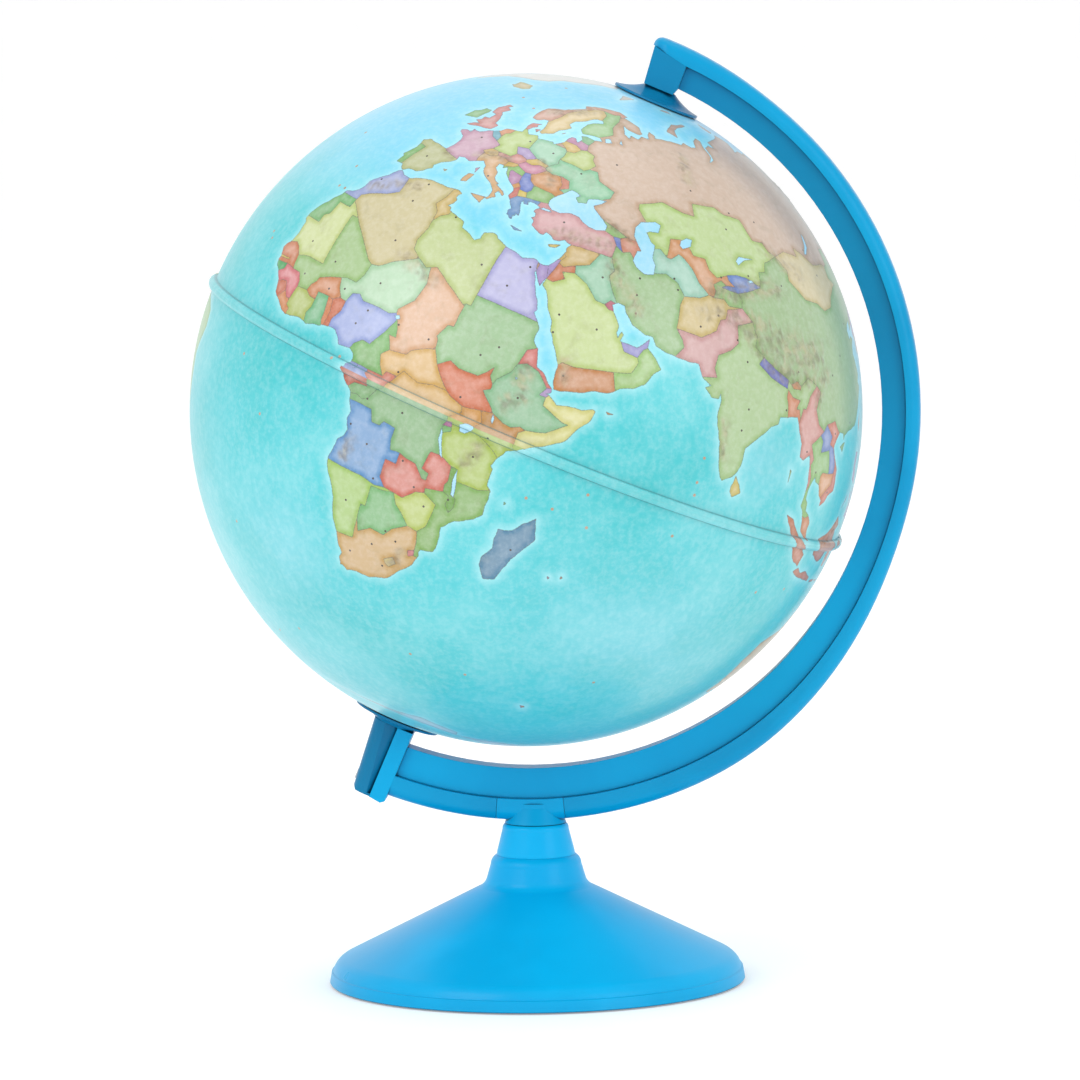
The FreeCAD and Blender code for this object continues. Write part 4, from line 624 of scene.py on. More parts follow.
def to_plane(lon, lat, side):
    """The hemisphere's flat chart, with its pole in the middle and the equator at radius 1."""
    radius = np.tan(np.radians(90 - side * np.asarray(lat, float)) / 2)
    turn = np.radians(lon)
    return np.stack([radius * np.cos(turn), radius * np.sin(turn)], -1)


def from_plane(points, side):
    """Longitudes and latitudes of points on the flat chart."""
    radius = np.hypot(points[:, 0], points[:, 1])
    lat = side * (90 - 2 * np.degrees(np.arctan(radius)))
    return np.degrees(np.arctan2(points[:, 1], points[:, 0])), lat


def linear(hex_colour):
    """A written colour as linear red, green and blue."""
    parts = np.array([int(hex_colour[i:i + 2], 16) for i in (0, 2, 4)]) / 255
    return np.where(parts <= 0.04045, parts / 12.92, ((parts + 0.055) / 1.055) ** 2.4)


# ---------------------------------------------------------------- the map's lines
def pairs(text):
    """Longitudes and latitudes written in turn, as rows of two."""
    return np.array([float(word) for word in text.split()]).reshape(-1, 2)


def whole_rows(text):
    """Rows of a list, with the rows that start with a space joined to the one before."""
    rows = []
    for row in text.strip().splitlines():
        if row.startswith(" "):
            rows[-1] += row
        else:
            rows.append(row)
    return rows


def named_lines(text):
    """The words of the heading and the points of each row."""
    for row in whole_rows(text):
        heading, numbers = row.split(":")
        yield heading.split(), pairs(numbers)


def wander(lon, lat, amount):
    """Moves points a little by a fixed noise field, so that straight runs look like a coast."""
    where = outward(lon, lat)
    lon, lat = np.array(lon, float), np.array(lat, float)
    for i, p in enumerate(where):
        v = Vector(p)
        wide = noise.noise_vector(v * WIDE_NOISE)
        fine = noise.noise_vector(v * FINE_NOISE + Vector((7, 3, 5)))
        level = max(math.cos(math.radians(lat[i])), 0.1)
        lon[i] += amount * (wide.x + FINE_SHARE * fine.x) / level
        lat[i] += amount * (wide.y + FINE_SHARE * fine.y)
    return lon, lat


def drawn(points, closed, amount):
    """A line's points close together, wandering and printed, split where it crosses the equator."""
    if closed:
        points = np.vstack([points, points[:1]])
    lon, lat = [], []
    for a, b in zip(points[:-1], points[1:]):
        level = math.cos(math.radians((a[1] + b[1]) / 2))
        length = math.hypot((b[0] - a[0]) * level, b[1] - a[1])
        count = max(1, math.ceil(length / STEP))
        share = np.arange(count) / count
        lon += list(a[0] + (b[0] - a[0]) * share)
        lat += list(a[1] + (b[1] - a[1]) * share)
    lon.append(points[-1][0])
    lat.append(points[-1][1])
    lon, lat = wander(lon, lat, amount)
    if closed:
        lon[-1], lat[-1] = lon[0], lat[0]
    lat = printed(lat)
    lat[np.abs(lat) < EQUATOR_GAP] = EQUATOR_GAP
    line = [(lon[0], lat[0])]
    for x, y in zip(lon[1:], lat[1:]):
        px, py = line[-1]
        if py * y < 0:
            crossing = px + (x - px) * py / (py - y)
            line.append((round(crossing * CROSSINGS_A_DEGREE) / CROSSINGS_A_DEGREE, 0.0))
        line.append((x, y))
    return np.array(line)


def dot(lon, lat, radius):
    """A small closed ring."""
    turn = np.radians(np.arange(DOT_SIDES + 1) * 360 / DOT_SIDES)
    level = math.cos(math.radians(lat))
    ring = np.stack([lon + radius * np.cos(turn) / level, lat + radius * np.sin(turn)], -1)
    ring[-1] = ring[0]
    return ring


def map_lines():
    """Every drawn line: its kind, its colour if it closes round land, its points and its name."""
    noise.seed_set(WANDER_SEED)
    lines = []
    for (name, colour), points in named_lines(COASTS):
        lines.append((COAST, colour, drawn(points, True, COAST_WANDER), name))
    for (name,), points in named_lines(WATERS):
        lines.append((LAKE, None, drawn(points, True, LAKE_WANDER), name))
    for text, radius, colour in ((TOWNS, TOWN_RADIUS, TOWN_COLOUR), (ISLETS, ISLET_RADIUS, ISLET_COLOUR)):
        for lon, lat in pairs(text):
            lines.append((DOT, colour, dot(lon, float(printed(lat)), radius), "dot"))
    for row in whole_rows(BORDERS):
        lines.append((BORDER, None, drawn(pairs(row), False, BORDER_WANDER), "border"))
    return lines


def absent(name, side):
    """Antarctica circles its pole, so it has no place on the northern chart."""
    return name == "antarctica" and side > 0


def inside(ring, points):
    """Which points lie inside a closed ring of flat points."""
    found = np.zeros(len(points), bool)
    x, y = points[:, 0], points[:, 1]
    for (ax, ay), (bx, by) in zip(ring[:-1], ring[1:]):
        if ay == by:
            continue
        crosses = (ay > y) != (by > y)
        found ^= crosses & (x < ax + (bx - ax) * (y - ay) / (by - ay))
    return found


# ---------------------------------------------------------------- a hemisphere's flat mesh
def lattice(count, side, low, high):
    """Points spread evenly by the golden angle, between two latitudes of one hemisphere."""
    k = np.arange(count) + 0.5
    lat = np.degrees(np.arcsin(k / count))
    lon = np.degrees(k * math.pi * (3 - math.sqrt(5))) % 360 - 180
    keep = (lat > low) & (lat < high)
    return lon[keep], side * lat[keep]


def circle(count):
    """Longitudes evenly spaced all the way round."""
    return np.arange(count) * 360 / count - 180


class Chart:
    """Points and edges of one hemisphere, gathered for the triangulation."""

    def __init__(self, side):
        self.side = side
        self.points = []
        self.edges = []
        self.kinds = []
        self.known = {}
        self.hoop(RING_POINTS, 0.0)

    def point(self, lon, lat):
        flat = to_plane(lon, lat, self.side)
        key = (round(float(flat[0]) * KEY_SCALE), round(float(flat[1]) * KEY_SCALE))
        if key not in self.known:
            self.known[key] = len(self.points)
            self.points.append(Vector(flat))
        return self.known[key]

    def line(self, points, kind):
        before = None
        for lon, lat in points:
            outside = lat * self.side < 0 or abs(lat) > HOLE_LATITUDE
            index = None if outside else self.point(lon, lat)
            if before is not None and index is not None and index != before:
                self.edges.append((before, index))
                self.kinds.append(kind)
            before = index

    def hoop(self, count, lat):
        """A closed circle of latitude that bounds the mesh."""
        ring = circle(count)
        self.line([(lon, lat) for lon in ring] + [(ring[0], lat)], SEAM)

    def scatter(self, lon, lat):
        for x, y in zip(lon, lat):
            self.point(x, y)

    def triangulate(self):
        """Flat points, faces, and the kind of each edge that lies on a line."""
        made = delaunay_2d_cdt(self.points, self.edges, [], 0, MERGE_DISTANCE, True)
        flat = np.array([tuple(v) for v in made[0]], float)
        faces = np.array([tuple(f) for f in made[2]], int)
        centre = flat[faces].mean(1)
        just_inside = 0.995
        hole = math.tan(math.radians(90 - HOLE_LATITUDE) / 2) * just_inside
        faces = faces[np.hypot(centre[:, 0], centre[:, 1]) > hole]
        faces = faces[np.abs(doubled_area(flat[faces])) > SLIVER_AREA]
        lines = {}
        for (p, q), origins in zip(made[1], made[4]):
            kinds = [self.kinds[i] for i in origins if i < len(self.kinds)]
            if kinds:
                lines[(min(p, q), max(p, q))] = min(kinds)
        return flat, faces, lines


def doubled_area(corners):
    """Twice the signed area of each flat triangle."""
    u, v = corners[:, 1] - corners[:, 0], corners[:, 2] - corners[:, 0]
    return u[:, 0] * v[:, 1] - u[:, 1] * v[:, 0]


def outer_chart(side, lines):
    """The printed side, with every line of the map as edges."""
    chart = Chart(side)
    ring = circle(RING_POINTS)
    for share in BEAD_ROWS:
        chart.scatter(ring, np.full(RING_POINTS, side * share * BEAD_LATITUDE))
    chart.hoop(HOLE_POINTS, side * HOLE_LATITUDE)
    for kind, _, points, name in lines:
        if not absent(name, side):
            chart.line(points, kind)
    chart.scatter(*lattice(LATTICE_POINTS, side, 1.3 * BEAD_LATITUDE, HOLE_LATITUDE - 0.5))
    return chart.triangulate()


def inner_chart(side):
    """The same two edges with few points between them, for the inside of the wall."""
    margin = 1.5
    chart = Chart(side)
    chart.hoop(HOLE_POINTS, side * HOLE_LATITUDE)
    chart.scatter(*lattice(INNER_POINTS, side, margin, HOLE_LATITUDE - margin))
    return chart.triangulate()


# ---------------------------------------------------------------- which face is which land
def neighbours(faces):
    """Pairs of faces that share an edge, with that edge."""
    owner, found = {}, []
    for i, (a, b, c) in enumerate(faces.tolist()):
        for p, q in ((a, b), (b, c), (c, a)):
            key = (p, q) if p < q else (q, p)
            if key in owner:
                found.append((owner.pop(key), i, key))
            else:
                owner[key] = i
    return found


def regions(faces, lines):
    """Region number of each face: faces joined without crossing a coast, border or shore."""
    joined = [[] for _ in range(len(faces))]
    walls = []
    for i, j, key in neighbours(faces):
        if lines.get(key, SEAM) == SEAM:
            joined[i].append(j)
            joined[j].append(i)
        else:
            walls.append((i, j, key, lines[key]))
    region = np.full(len(faces), -1)
    count = 0
    for start in range(len(faces)):
        if region[start] >= 0:
            continue
        region[start] = count
        todo = [start]
        while todo:
            for j in joined[todo.pop()]:
                if region[j] < 0:
                    region[j] = count
                    todo.append(j)
        count += 1
    return region, count, walls


def face_with(flat, faces, point):
    """The face that holds a flat point, or None."""
    a, b, c = flat[faces[:, 0]], flat[faces[:, 1]], flat[faces[:, 2]]

    def turn(p, q):
        return (q[:, 0] - p[:, 0]) * (point[1] - p[:, 1]) - (q[:, 1] - p[:, 1]) * (point[0] - p[:, 0])

    s, t, u = turn(a, b), turn(b, c), turn(c, a)
    hit = ((s >= 0) & (t >= 0) & (u >= 0)) | ((s <= 0) & (t <= 0) & (u <= 0))
    found = np.flatnonzero(hit)
    return found[0] if len(found) else None


def first_colours(side, flat, faces, lines, region, count):
    """Colour and kind of each region by the outline round it, and which regions are dots."""
    corners = flat[faces]
    order = np.lexsort((-np.abs(doubled_area(corners)), region))
    largest = order[np.searchsorted(region[order], np.arange(count))]
    marker = corners[largest].mean(1)
    kind = np.full(count, float(SEA))
    colour = np.zeros((count, 3))
    dots = np.zeros(count, bool)
    for line_kind, shade, points, name in lines:
        if line_kind == BORDER or absent(name, side):
            continue
        within = inside(to_plane(points[:, 0], points[:, 1], side), marker)
        if line_kind == LAKE:
            kind[within & (kind > SEA)] = WATER
            continue
        kind[within] = LAND
        colour[within] = linear(shade)
        if line_kind == DOT:
            dots |= within
    return colour, kind, dots


def shared_borders(flat, region, walls):
    """For each region, the length of border that it shares with each neighbour."""
    border = {}
    for i, j, (p, q), line_kind in walls:
        if line_kind == BORDER and region[i] != region[j]:
            length = float(np.hypot(*(flat[p] - flat[q])))
            for m, n in ((region[i], region[j]), (region[j], region[i])):
                border.setdefault(m, {}).setdefault(n, 0.0)
                border[m][n] += length
    return border


def region_colours(side, flat, faces, lines, region, count, walls):
    """Colour of each region, and whether it is sea, lake or land."""
    colour, kind, dots = first_colours(side, flat, faces, lines, region, count)
    seeded = {}
    words = LANDS.split()
    for lon, lat, shade in zip(words[0::3], words[1::3], words[2::3]):
        lon, lat = float(lon), float(printed(float(lat)))
        if lat * side <= 0:
            continue
        face = face_with(flat, faces, to_plane(lon, lat, side))
        if face is None:
            continue
        r = region[face]
        if dots[r] or kind[r] != LAND:
            print("MAP country point is off its land", lon, round(lat, 1))
        elif seeded.get(r, shade) != shade:
            print("MAP countries share a region", lon, round(lat, 1), shade, seeded[r])
        else:
            seeded[r] = shade
            colour[r] = linear(shade)
    border = shared_borders(flat, region, walls)
    settled = set(seeded)
    waiting = [r for r in border if r not in settled and kind[r] == LAND]
    while waiting:
        moved = []
        for r in waiting:
            choices = {n: length for n, length in border[r].items() if n in settled}
            if choices:
                colour[r] = colour[max(choices, key=choices.get)]
                moved.append(r)
        if not moved:
            break
        settled |= set(moved)
        waiting = [r for r in waiting if r not in settled]
    return colour, kind


# ---------------------------------------------------------------- fields over the ball
def tree_of(points):
    """A search tree that finds the nearest of some points."""
    tree = kdtree.KDTree(len(points))
    for i, p in enumerate(points):
        tree.insert(p, i)
    tree.balance()
    return tree


def line_tree(lines, kinds):
    """A search tree of the points on lines of some kinds."""
    points = [outward(p[:, 0], p[:, 1]) for kind, _, p, _ in lines if kind in kinds]
    return tree_of(np.vstack(points))


def range_samples():
    """Directions along every mountain chain, with the chain's width."""
    where, widths = [], []
    for (width,), points in named_lines(RANGES):
        for a, b in zip(points[:-1], points[1:]):
            for share in np.arange(0, 1, RANGE_STEP):
                lon, lat = a + (b - a) * share
                where.append(outward(lon, printed(lat)))
                widths.append(float(width))
    return tree_of(where), widths


def fields(where, trees, chains):
    """Distance to any line and to a coast in millimetres, and height of the hills from 0 to 1."""
    every, coast = trees
    chain_tree, widths = chains
    near = np.empty(len(where))
    shore = np.empty(len(where))
    hill = np.zeros(len(where))
    for i, p in enumerate(where):
        near[i] = every.find(p)[2]
        shore[i] = coast.find(p)[2]
        _, nearest, distance = chain_tree.find(p)
        weight = math.exp(-(math.degrees(distance) / widths[nearest]) ** 2)
        if weight > FAINTEST_HILL:
            v = Vector(p)
            ridge = 1 - abs(noise.noise(v * RIDGE_NOISE)) * 2
            crumple = 1 - abs(noise.noise(v * CRUMPLE_NOISE + Vector((4, 9, 2)))) * 2
            hill[i] = weight * max(0.0, 0.25 + 0.5 * ridge * ridge + 0.35 * crumple * ridge)
    return near * BALL_RADIUS / MM, shore * BALL_RADIUS / MM, np.clip(hill, 0, 1)


def sea_colours(lon, lat, shore):
    """The sea's printed wash: turquoise with deep and pale patches, bluer north, pale at shores."""
    colour = np.tile(linear(SEA_BASE), (len(lon), 1))

    def towards(shade, amount):
        nonlocal colour
        amount = np.clip(amount, 0, 1)[:, None]
        colour = colour * (1 - amount) + linear(shade) * amount

    def patch(at_lon, at_lat, wide, tall):
        east = (lon - at_lon + 180) % 360 - 180
        return np.exp(-(east / wide) ** 2 - ((lat - at_lat) / tall) ** 2)

    for spot in DEEP_PATCHES:
        towards(SEA_DEEP, 0.75 * patch(*spot))
    for spot in PALE_PATCHES:
        towards(SEA_PALE, 0.6 * patch(*spot))
    towards(SEA_NORTH, np.clip((lat - 20) / 25, 0, 1))
    towards(SEA_NORTH, sum(patch(*spot) for spot in ENCLOSED_SEAS))
    towards(SEA_SHORE, 0.45 * np.exp(-(shore / SHORE_WASH) ** 2))
    return colour


# ---------------------------------------------------------------- the solid hemispheres
def bead_profile(lat):
    """Height of the raised joint at a latitude, with its fine ridges."""
    share = np.clip(np.abs(lat) / BEAD_LATITUDE, 0, 1)
    dome = np.sqrt(np.clip(1 - share ** 2, 0, 1)) ** 0.8
    ridges = RIDGE_DEPTH * np.cos(share * math.pi * RIDGE_TURNS) * (share < 0.9)
    return BEAD_HEIGHT * np.clip(dome - RIDGE_DEPTH + ridges, 0, 1)


def face_lines(place, faces, lines):
    """Distance of each corner to the lines on its own face, in millimetres."""
    value = np.full((len(faces), 3), NO_LINE)
    on_line = {point for edge, kind in lines.items() if kind != SEAM for point in edge}
    for i, corners in enumerate(faces.tolist()):
        marked = []
        for k in range(3):
            p, q = corners[k], corners[(k + 1) % 3]
            if lines.get((p, q) if p < q else (q, p), SEAM) != SEAM:
                marked.append(k)
        if len(marked) == 1:
            k = marked[0]
            a, b, c = place[corners[k]], place[corners[(k + 1) % 3]], place[corners[(k + 2) % 3]]
            along = b - a
            height = np.linalg.norm(np.cross(along, c - a)) / max(np.linalg.norm(along), 1e-9)
            value[i, k] = value[i, (k + 1) % 3] = 0
            value[i, (k + 2) % 3] = height / MM
        elif len(marked) > 1:
            value[i] = BETWEEN_LINES
        else:
            touching = [corner in on_line for corner in corners]
            if any(touching):
                value[i] = [BESIDE_LINE if touch else OFF_LINE for touch in touching]
    return value


def turned(corners, points, sign):
    """Faces wound so that they look away from the wall: sign 1 outwards, -1 inwards."""
    a, b, c = points[corners[:, 0]], points[corners[:, 1]], points[corners[:, 2]]
    out = ((np.cross(b - a, c - a)) * (a - CENTRE)).sum(1) * sign
    corners = corners.copy()
    corners[out < 0] = corners[out < 0][:, ::-1]
    return corners


def edge_loop(flat, side, latitude):
    """Indexes of the chart's points at one edge, in order of longitude."""
    lon, lat = from_plane(flat, side)
    at_edge = np.flatnonzero(np.abs(lat - latitude) < 1e-3)
    return at_edge[np.argsort(np.round(lon[at_edge] * 2) % 720)]


def edge_strips(flat, inner_flat, side):
    """Faces that join the outside of the wall to its inside, at the joint and at the hole."""
    strips = []
    for latitude in (0.0, side * HOLE_LATITUDE):
        top = edge_loop(flat, side, latitude)
        under = edge_loop(inner_flat, side, latitude) + len(flat)
        flip = (side > 0) == (latitude == 0.0)
        for i in range(len(top)):
            j = (i + 1) % len(top)
            quad = [int(x) for x in (top[i], under[i], under[j], top[j])]
            strips.append(quad if flip else quad[::-1])
    return strips


def add_field(mesh, label, domain, values):
    """One number for each point or corner, for the material to read."""
    made = mesh.attributes.new(label, "FLOAT", domain)
    made.data.foreach_set("value", np.asarray(values, np.float32))


def hemisphere(name, side, lines, trees, chains):
    """One half of the printed ball as a closed shell, with the fields that its material reads."""
    flat, faces, edge_lines = outer_chart(side, lines)
    region, count, walls = regions(faces, edge_lines)
    colour, kind = region_colours(side, flat, faces, lines, region, count, walls)
    shown = {}
    for i, j, key, line_kind in walls:
        on_land = kind[region[i]] == LAND or kind[region[j]] == LAND
        if region[i] != region[j] and on_land and line_kind != DOT:
            shown[key] = line_kind
    lon, lat = from_plane(flat, side)
    where = outward(lon, lat)
    near, shore, hill = fields(where, trees, chains)
    hill *= np.clip((np.abs(lat) - BEAD_LATITUDE) / 2, 0, 1)
    land_points = np.zeros(len(flat))
    land_points[faces[kind[region] == LAND].ravel()] = 1
    hill *= land_points
    radius = BALL_RADIUS + bead_profile(lat) + RELIEF_HEIGHT * hill
    outer = CENTRE + where * radius[:, None]

    inner_flat, inner_faces, _ = inner_chart(side)
    inner = CENTRE + outward(*from_plane(inner_flat, side)) * (BALL_RADIUS - WALL)

    faces_out = turned(faces, outer, 1)
    faces_in = turned(inner_faces, inner, -1) + len(outer)
    everything = faces_out.tolist() + faces_in.tolist() + edge_strips(flat, inner_flat, side)
    mesh = bpy.data.meshes.new(name)
    mesh.from_pydata(np.vstack([outer, inner]).tolist(), [], everything)
    mesh.update()
    smooth = np.zeros(len(mesh.polygons), bool)
    smooth[:len(faces_out) + len(faces_in)] = True
    mesh.polygons.foreach_set("use_smooth", smooth)

    corner_count = len(mesh.loops)
    outer_corners = faces_out.size
    index = np.zeros(corner_count, int)
    mesh.loops.foreach_get("vertex_index", index)
    sea = sea_colours(lon, lat, shore)[index[:outer_corners]]
    corner_kind = np.repeat(kind[region], 3)
    land = corner_kind == LAND
    tint = np.zeros((corner_count, 4), np.float32)
    tint[:, :3] = 0.75
    tint[:outer_corners, :3] = np.where(land[:, None], np.repeat(colour[region], 3, 0), sea)
    tint[:outer_corners][corner_kind == WATER, :3] = linear(LAKE_COLOUR)
    tint[:outer_corners, 3] = land
    mesh.attributes.new("tint", "FLOAT_COLOR", "CORNER").data.foreach_set("color", tint.ravel())
    line_value = np.full(corner_count, NO_LINE)
    line_value[:outer_corners] = face_lines(outer, faces_out, shown).ravel()
    add_field(mesh, "line", "CORNER", line_value)
    for label, values, rest in (("near", near, FAR_AWAY), ("hill", hill, 0.0),
                                ("latitude", lat, INNER_LATITUDE)):
        add_field(mesh, label, "POINT", np.concatenate([values, np.full(len(inner), rest)]))
    piece = bpy.data.objects.new(name, mesh)
    bpy.context.scene.collection.objects.link(piece)
    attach(piece, "ball")
    return piece


# ---------------------------------------------------------------- materials
def feed(tree, socket, value):
    """Links a socket's value into an input, or sets the input to a constant."""
    if isinstance(value, bpy.types.NodeSocket):
        tree.links.new(value, socket)
    else:
        socket.default_value = value


def node(tree, kind, **values):
    """A shader node; values name its inputs by label, and its own settings start with at_."""
    made = tree.nodes.new("ShaderNode" + kind)
    for key, value in values.items():
        if key.startswith("at_"):
            setattr(made, key[3:], value)
        else:
            feed(tree, made.inputs[key.replace("_", " ")], value)
    return made


def noise_of(tree, place, scale, detail, **values):
    """Procedural noise over the object, 0 to 1."""
    return node(tree, "TexNoise", Vector=place, Scale=scale, Detail=detail, **values).outputs["Fac"]


def maths(tree, operation, a, b):
    made = tree.nodes.new("ShaderNodeMath")
    made.operation = operation
    feed(tree, made.inputs[0], a)
    feed(tree, made.inputs[1], b)
    return made.outputs[0]


def times(tree, a, b):
    return maths(tree, "MULTIPLY", a, b)


def size_of(tree, value):
    return maths(tree, "ABSOLUTE", value, 0.0)


def blended(tree, factor, a, b):
    """Colour a where the factor is 0 and colour b where it is 1."""
    made = tree.nodes.new("ShaderNodeMix")
    made.data_type = "RGBA"
    feed(tree, made.inputs[0], factor)
    feed(tree, made.inputs[6], a)
    feed(tree, made.inputs[7], b)
    return made.outputs[2]


def between(tree, value, low, high):
    """0 at low and 1 at high, smooth in between."""
    made = node(tree, "MapRange", Value=value, From_Min=low, From_Max=high)
    made.interpolation_type = "SMOOTHSTEP"
    return made.outputs[0]


def colour4(hex_colour):
    """A written colour as a shader input takes it."""
    return (*linear(hex_colour), 1.0)


def tinged(tree, colour, mask, strength, hex_colour):
    """The colour, partly covered by a written one where the mask is 1."""
    return blended(tree, times(tree, mask, strength), colour, colour4(hex_colour))


def new_material(name, **values):
    """A material with its node tree and main shader; values set the shader's own inputs."""
    material = bpy.data.materials.new(name)
    material.use_nodes = True
    shader = material.node_tree.nodes["Principled BSDF"]
    for key, value in values.items():
        shader.inputs[key.replace("_", " ")].default_value = value
    return material, material.node_tree, shader


def map_material():
    """The printed map: the land brighter at its borders, hills, washes in the sea, thin ink lines, and
    painted shade along the edges of the bead.
    """
    material, tree, shader = new_material(
        "printed_map", Roughness=0.34, Coat_Weight=0.2, Coat_Roughness=0.16,
        Sheen_Weight=0.18, Sheen_Roughness=0.35, Sheen_Tint=(0.55, 0.85, 1.0, 1))
    place = node(tree, "TexCoord").outputs["Object"]

    def field(label):
        return node(tree, "Attribute", at_attribute_name=label).outputs["Fac"]

    tint = node(tree, "Attribute", at_attribute_name="tint")
    base = tint.outputs["Color"]
    land = tint.outputs["Alpha"]
    hill = field("hill")
    wash = noise_of(tree, place, 26.0, 5.0, Roughness=0.6)
    grain = noise_of(tree, place, 420.0, 4.0, Roughness=0.65)
    terrain = noise_of(tree, place, 150.0, 6.0, Roughness=0.62, Distortion=0.6)
    waves = noise_of(tree, place, 330.0, 5.0, Roughness=0.7, Distortion=0.8)
    pits = noise_of(tree, place, 900.0, 2.0)

    edge = node(tree, "HueSaturation", Saturation=1.32, Value=0.52, Color=base).outputs[0]
    middle = node(tree, "HueSaturation", Saturation=0.84, Value=0.70, Color=base).outputs[0]
    ground = blended(tree, times(tree, between(tree, field("near"), 2.6, 0.3), 0.72), middle, edge)
    ground = tinged(tree, ground, between(tree, terrain, 0.5, 0.72), 0.16, "6f6a45")
    rock = blended(tree, between(tree, terrain, 0.38, 0.66), colour4("6d5f48"), colour4("b8ab8a"))
    ground = blended(tree, times(tree, between(tree, hill, 0.05, 0.75), 0.6), ground, rock)
    water = tinged(tree, base, between(tree, wash, 0.42, 0.72), 0.30, "96dade")
    water = tinged(tree, water, between(tree, wash, 0.52, 0.28), 0.28, "2fb4b4")
    colour = blended(tree, land, water, ground)
    colour = tinged(tree, colour, between(tree, grain, 0.35, 0.75), 0.10, "ffffff")
    colour = tinged(tree, colour, between(tree, field("line"), 0.30, 0.05), 0.62, "5b5a58")

    off_joint = size_of(tree, field("latitude"))
    off_bead_edge = size_of(tree, maths(tree, "SUBTRACT", off_joint, BEAD_LATITUDE))
    # Painted shade: a thin dark line in the crease along each edge of the raised bead.
    colour = tinged(tree, colour, between(tree, off_bead_edge, 0.14, 0.04), 0.55, "3f7f86")
    on_bead = between(tree, off_joint, BEAD_LATITUDE, BEAD_LATITUDE * 0.75)
    colour = tinged(tree, colour, on_bead, 0.08, "d8f4f4")
    tree.links.new(colour, shader.inputs["Base Color"])

    fine = node(tree, "Bump", Strength=0.12, Distance=0.2 * MM, Height=pits)
    relief = maths(tree, "ADD", times(tree, terrain, hill), times(tree, waves, 0.22))
    coarse = node(tree, "Bump", Strength=0.55, Distance=0.6 * MM, Height=relief, Normal=fine.outputs[0])
    tree.links.new(coarse.outputs[0], shader.inputs["Normal"])
    return material


def softened(tree, shader, radius, samples, strength, distance, height):
    """Rounds the edges in the shading and adds a fine bump."""
    soft = node(tree, "Bevel", Radius=radius, at_samples=samples)
    bump = node(tree, "Bump", Strength=strength, Distance=distance, Height=height, Normal=soft.outputs[0])
    tree.links.new(bump.outputs[0], shader.inputs["Normal"])


def moulded(name, base, light, dark, roughness, coat=0.0, grain=1400.0, depth=0.05, metallic=0.0,
            specular=0.5, painted_shading=None, painted_crease_shade=None):
    """A moulded or cast surface: slow colour drift, fine grain, softened edges.

    The shade function paints shade that changes over the piece, and the crease colour is painted shade in
    the hollows where surfaces meet."""
    material, tree, shader = new_material(
        name, Metallic=metallic, Specular_IOR_Level=specular, Coat_Weight=coat, Coat_Roughness=0.08)
    place = node(tree, "TexCoord").outputs["Object"]
    drift = noise_of(tree, place, 18.0, 3.0, Roughness=0.5)
    speck = noise_of(tree, place, grain, 3.0, Roughness=0.6)
    colour = blended(tree, between(tree, drift, 0.35, 0.65), colour4(base), colour4(light))
    colour = tinged(tree, colour, between(tree, speck, 0.55, 0.8), 0.18, dark)
    # Painted shade over the piece, from the function given.
    if painted_shading is not None:
        colour = painted_shading(tree, place, colour)
    if painted_crease_shade is not None:
        # Painted shade: the colour darkens in creases, where nearby surfaces hide the light.
        open_sky = node(tree, "AmbientOcclusion", Distance=1.6 * MM, at_samples=8).outputs["AO"]
        colour = tinged(tree, colour, between(tree, open_sky, 0.72, 0.45), 0.85, painted_crease_shade)
    tree.links.new(colour, shader.inputs["Base Color"])
    rough = node(tree, "MapRange", Value=drift, From_Min=0.3, From_Max=0.7,
                 To_Min=roughness * 0.85, To_Max=roughness * 1.2)
    tree.links.new(rough.outputs[0], shader.inputs["Roughness"])
    softened(tree, shader, 0.35 * MM, 6, depth, 0.2 * MM, speck)
    return material


def turned_metal(name, base, light, roughness):
    """Machined metal with fine rings left by the tool."""
    material, tree, shader = new_material(name, Metallic=1.0)
    place = node(tree, "TexCoord").outputs["Object"]
    rings = node(tree, "TexWave", Vector=place, Scale=1800.0, Distortion=2.0, Detail=2.0,
                 at_bands_direction="Z").outputs["Fac"]
    drift = noise_of(tree, place, 60.0, 4.0)
    colour = blended(tree, drift, colour4(base), colour4(light))
    tree.links.new(colour, shader.inputs["Base Color"])
    rough = node(tree, "MapRange", Value=rings, To_Min=roughness * 0.8, To_Max=roughness * 1.3)
    tree.links.new(rough.outputs[0], shader.inputs["Roughness"])
    softened(tree, shader, 0.2 * MM, 4, 0.1, 0.1 * MM, rings)
    return material


def height_of(tree, place):
    return node(tree, "SeparateXYZ", Vector=place).outputs["Z"]


def arm_painted_shade(tree, place, colour):
    """Painted shade: the arm's recessed sides are darker towards the top, where the rim overhangs them."""
    facing = node(tree, "NewGeometry").outputs["Normal"]
    sideways = size_of(tree, node(tree, "SeparateXYZ", Vector=facing).outputs["Y"])
    up_high = between(tree, height_of(tree, place), 0.10, 0.27)
    share = times(tree, up_high, between(tree, sideways, 0.80, 0.97))
    return tinged(tree, colour, share, 0.60, "08628c")


def foot_painted_shade(tree, place, colour):
    """Painted shade: a little deeper in colour close to the floor."""
    near_floor = between(tree, height_of(tree, place), 0.012, 0.0)
    return tinged(tree, colour, near_floor, 0.35, "0d86b8")


def painted(material, *nodes):
    """Gives CAD nodes a material in place of their own."""
    for name in nodes:
        slots = frame["nodes"][name].data.materials
        slots.clear()
        slots.append(material)


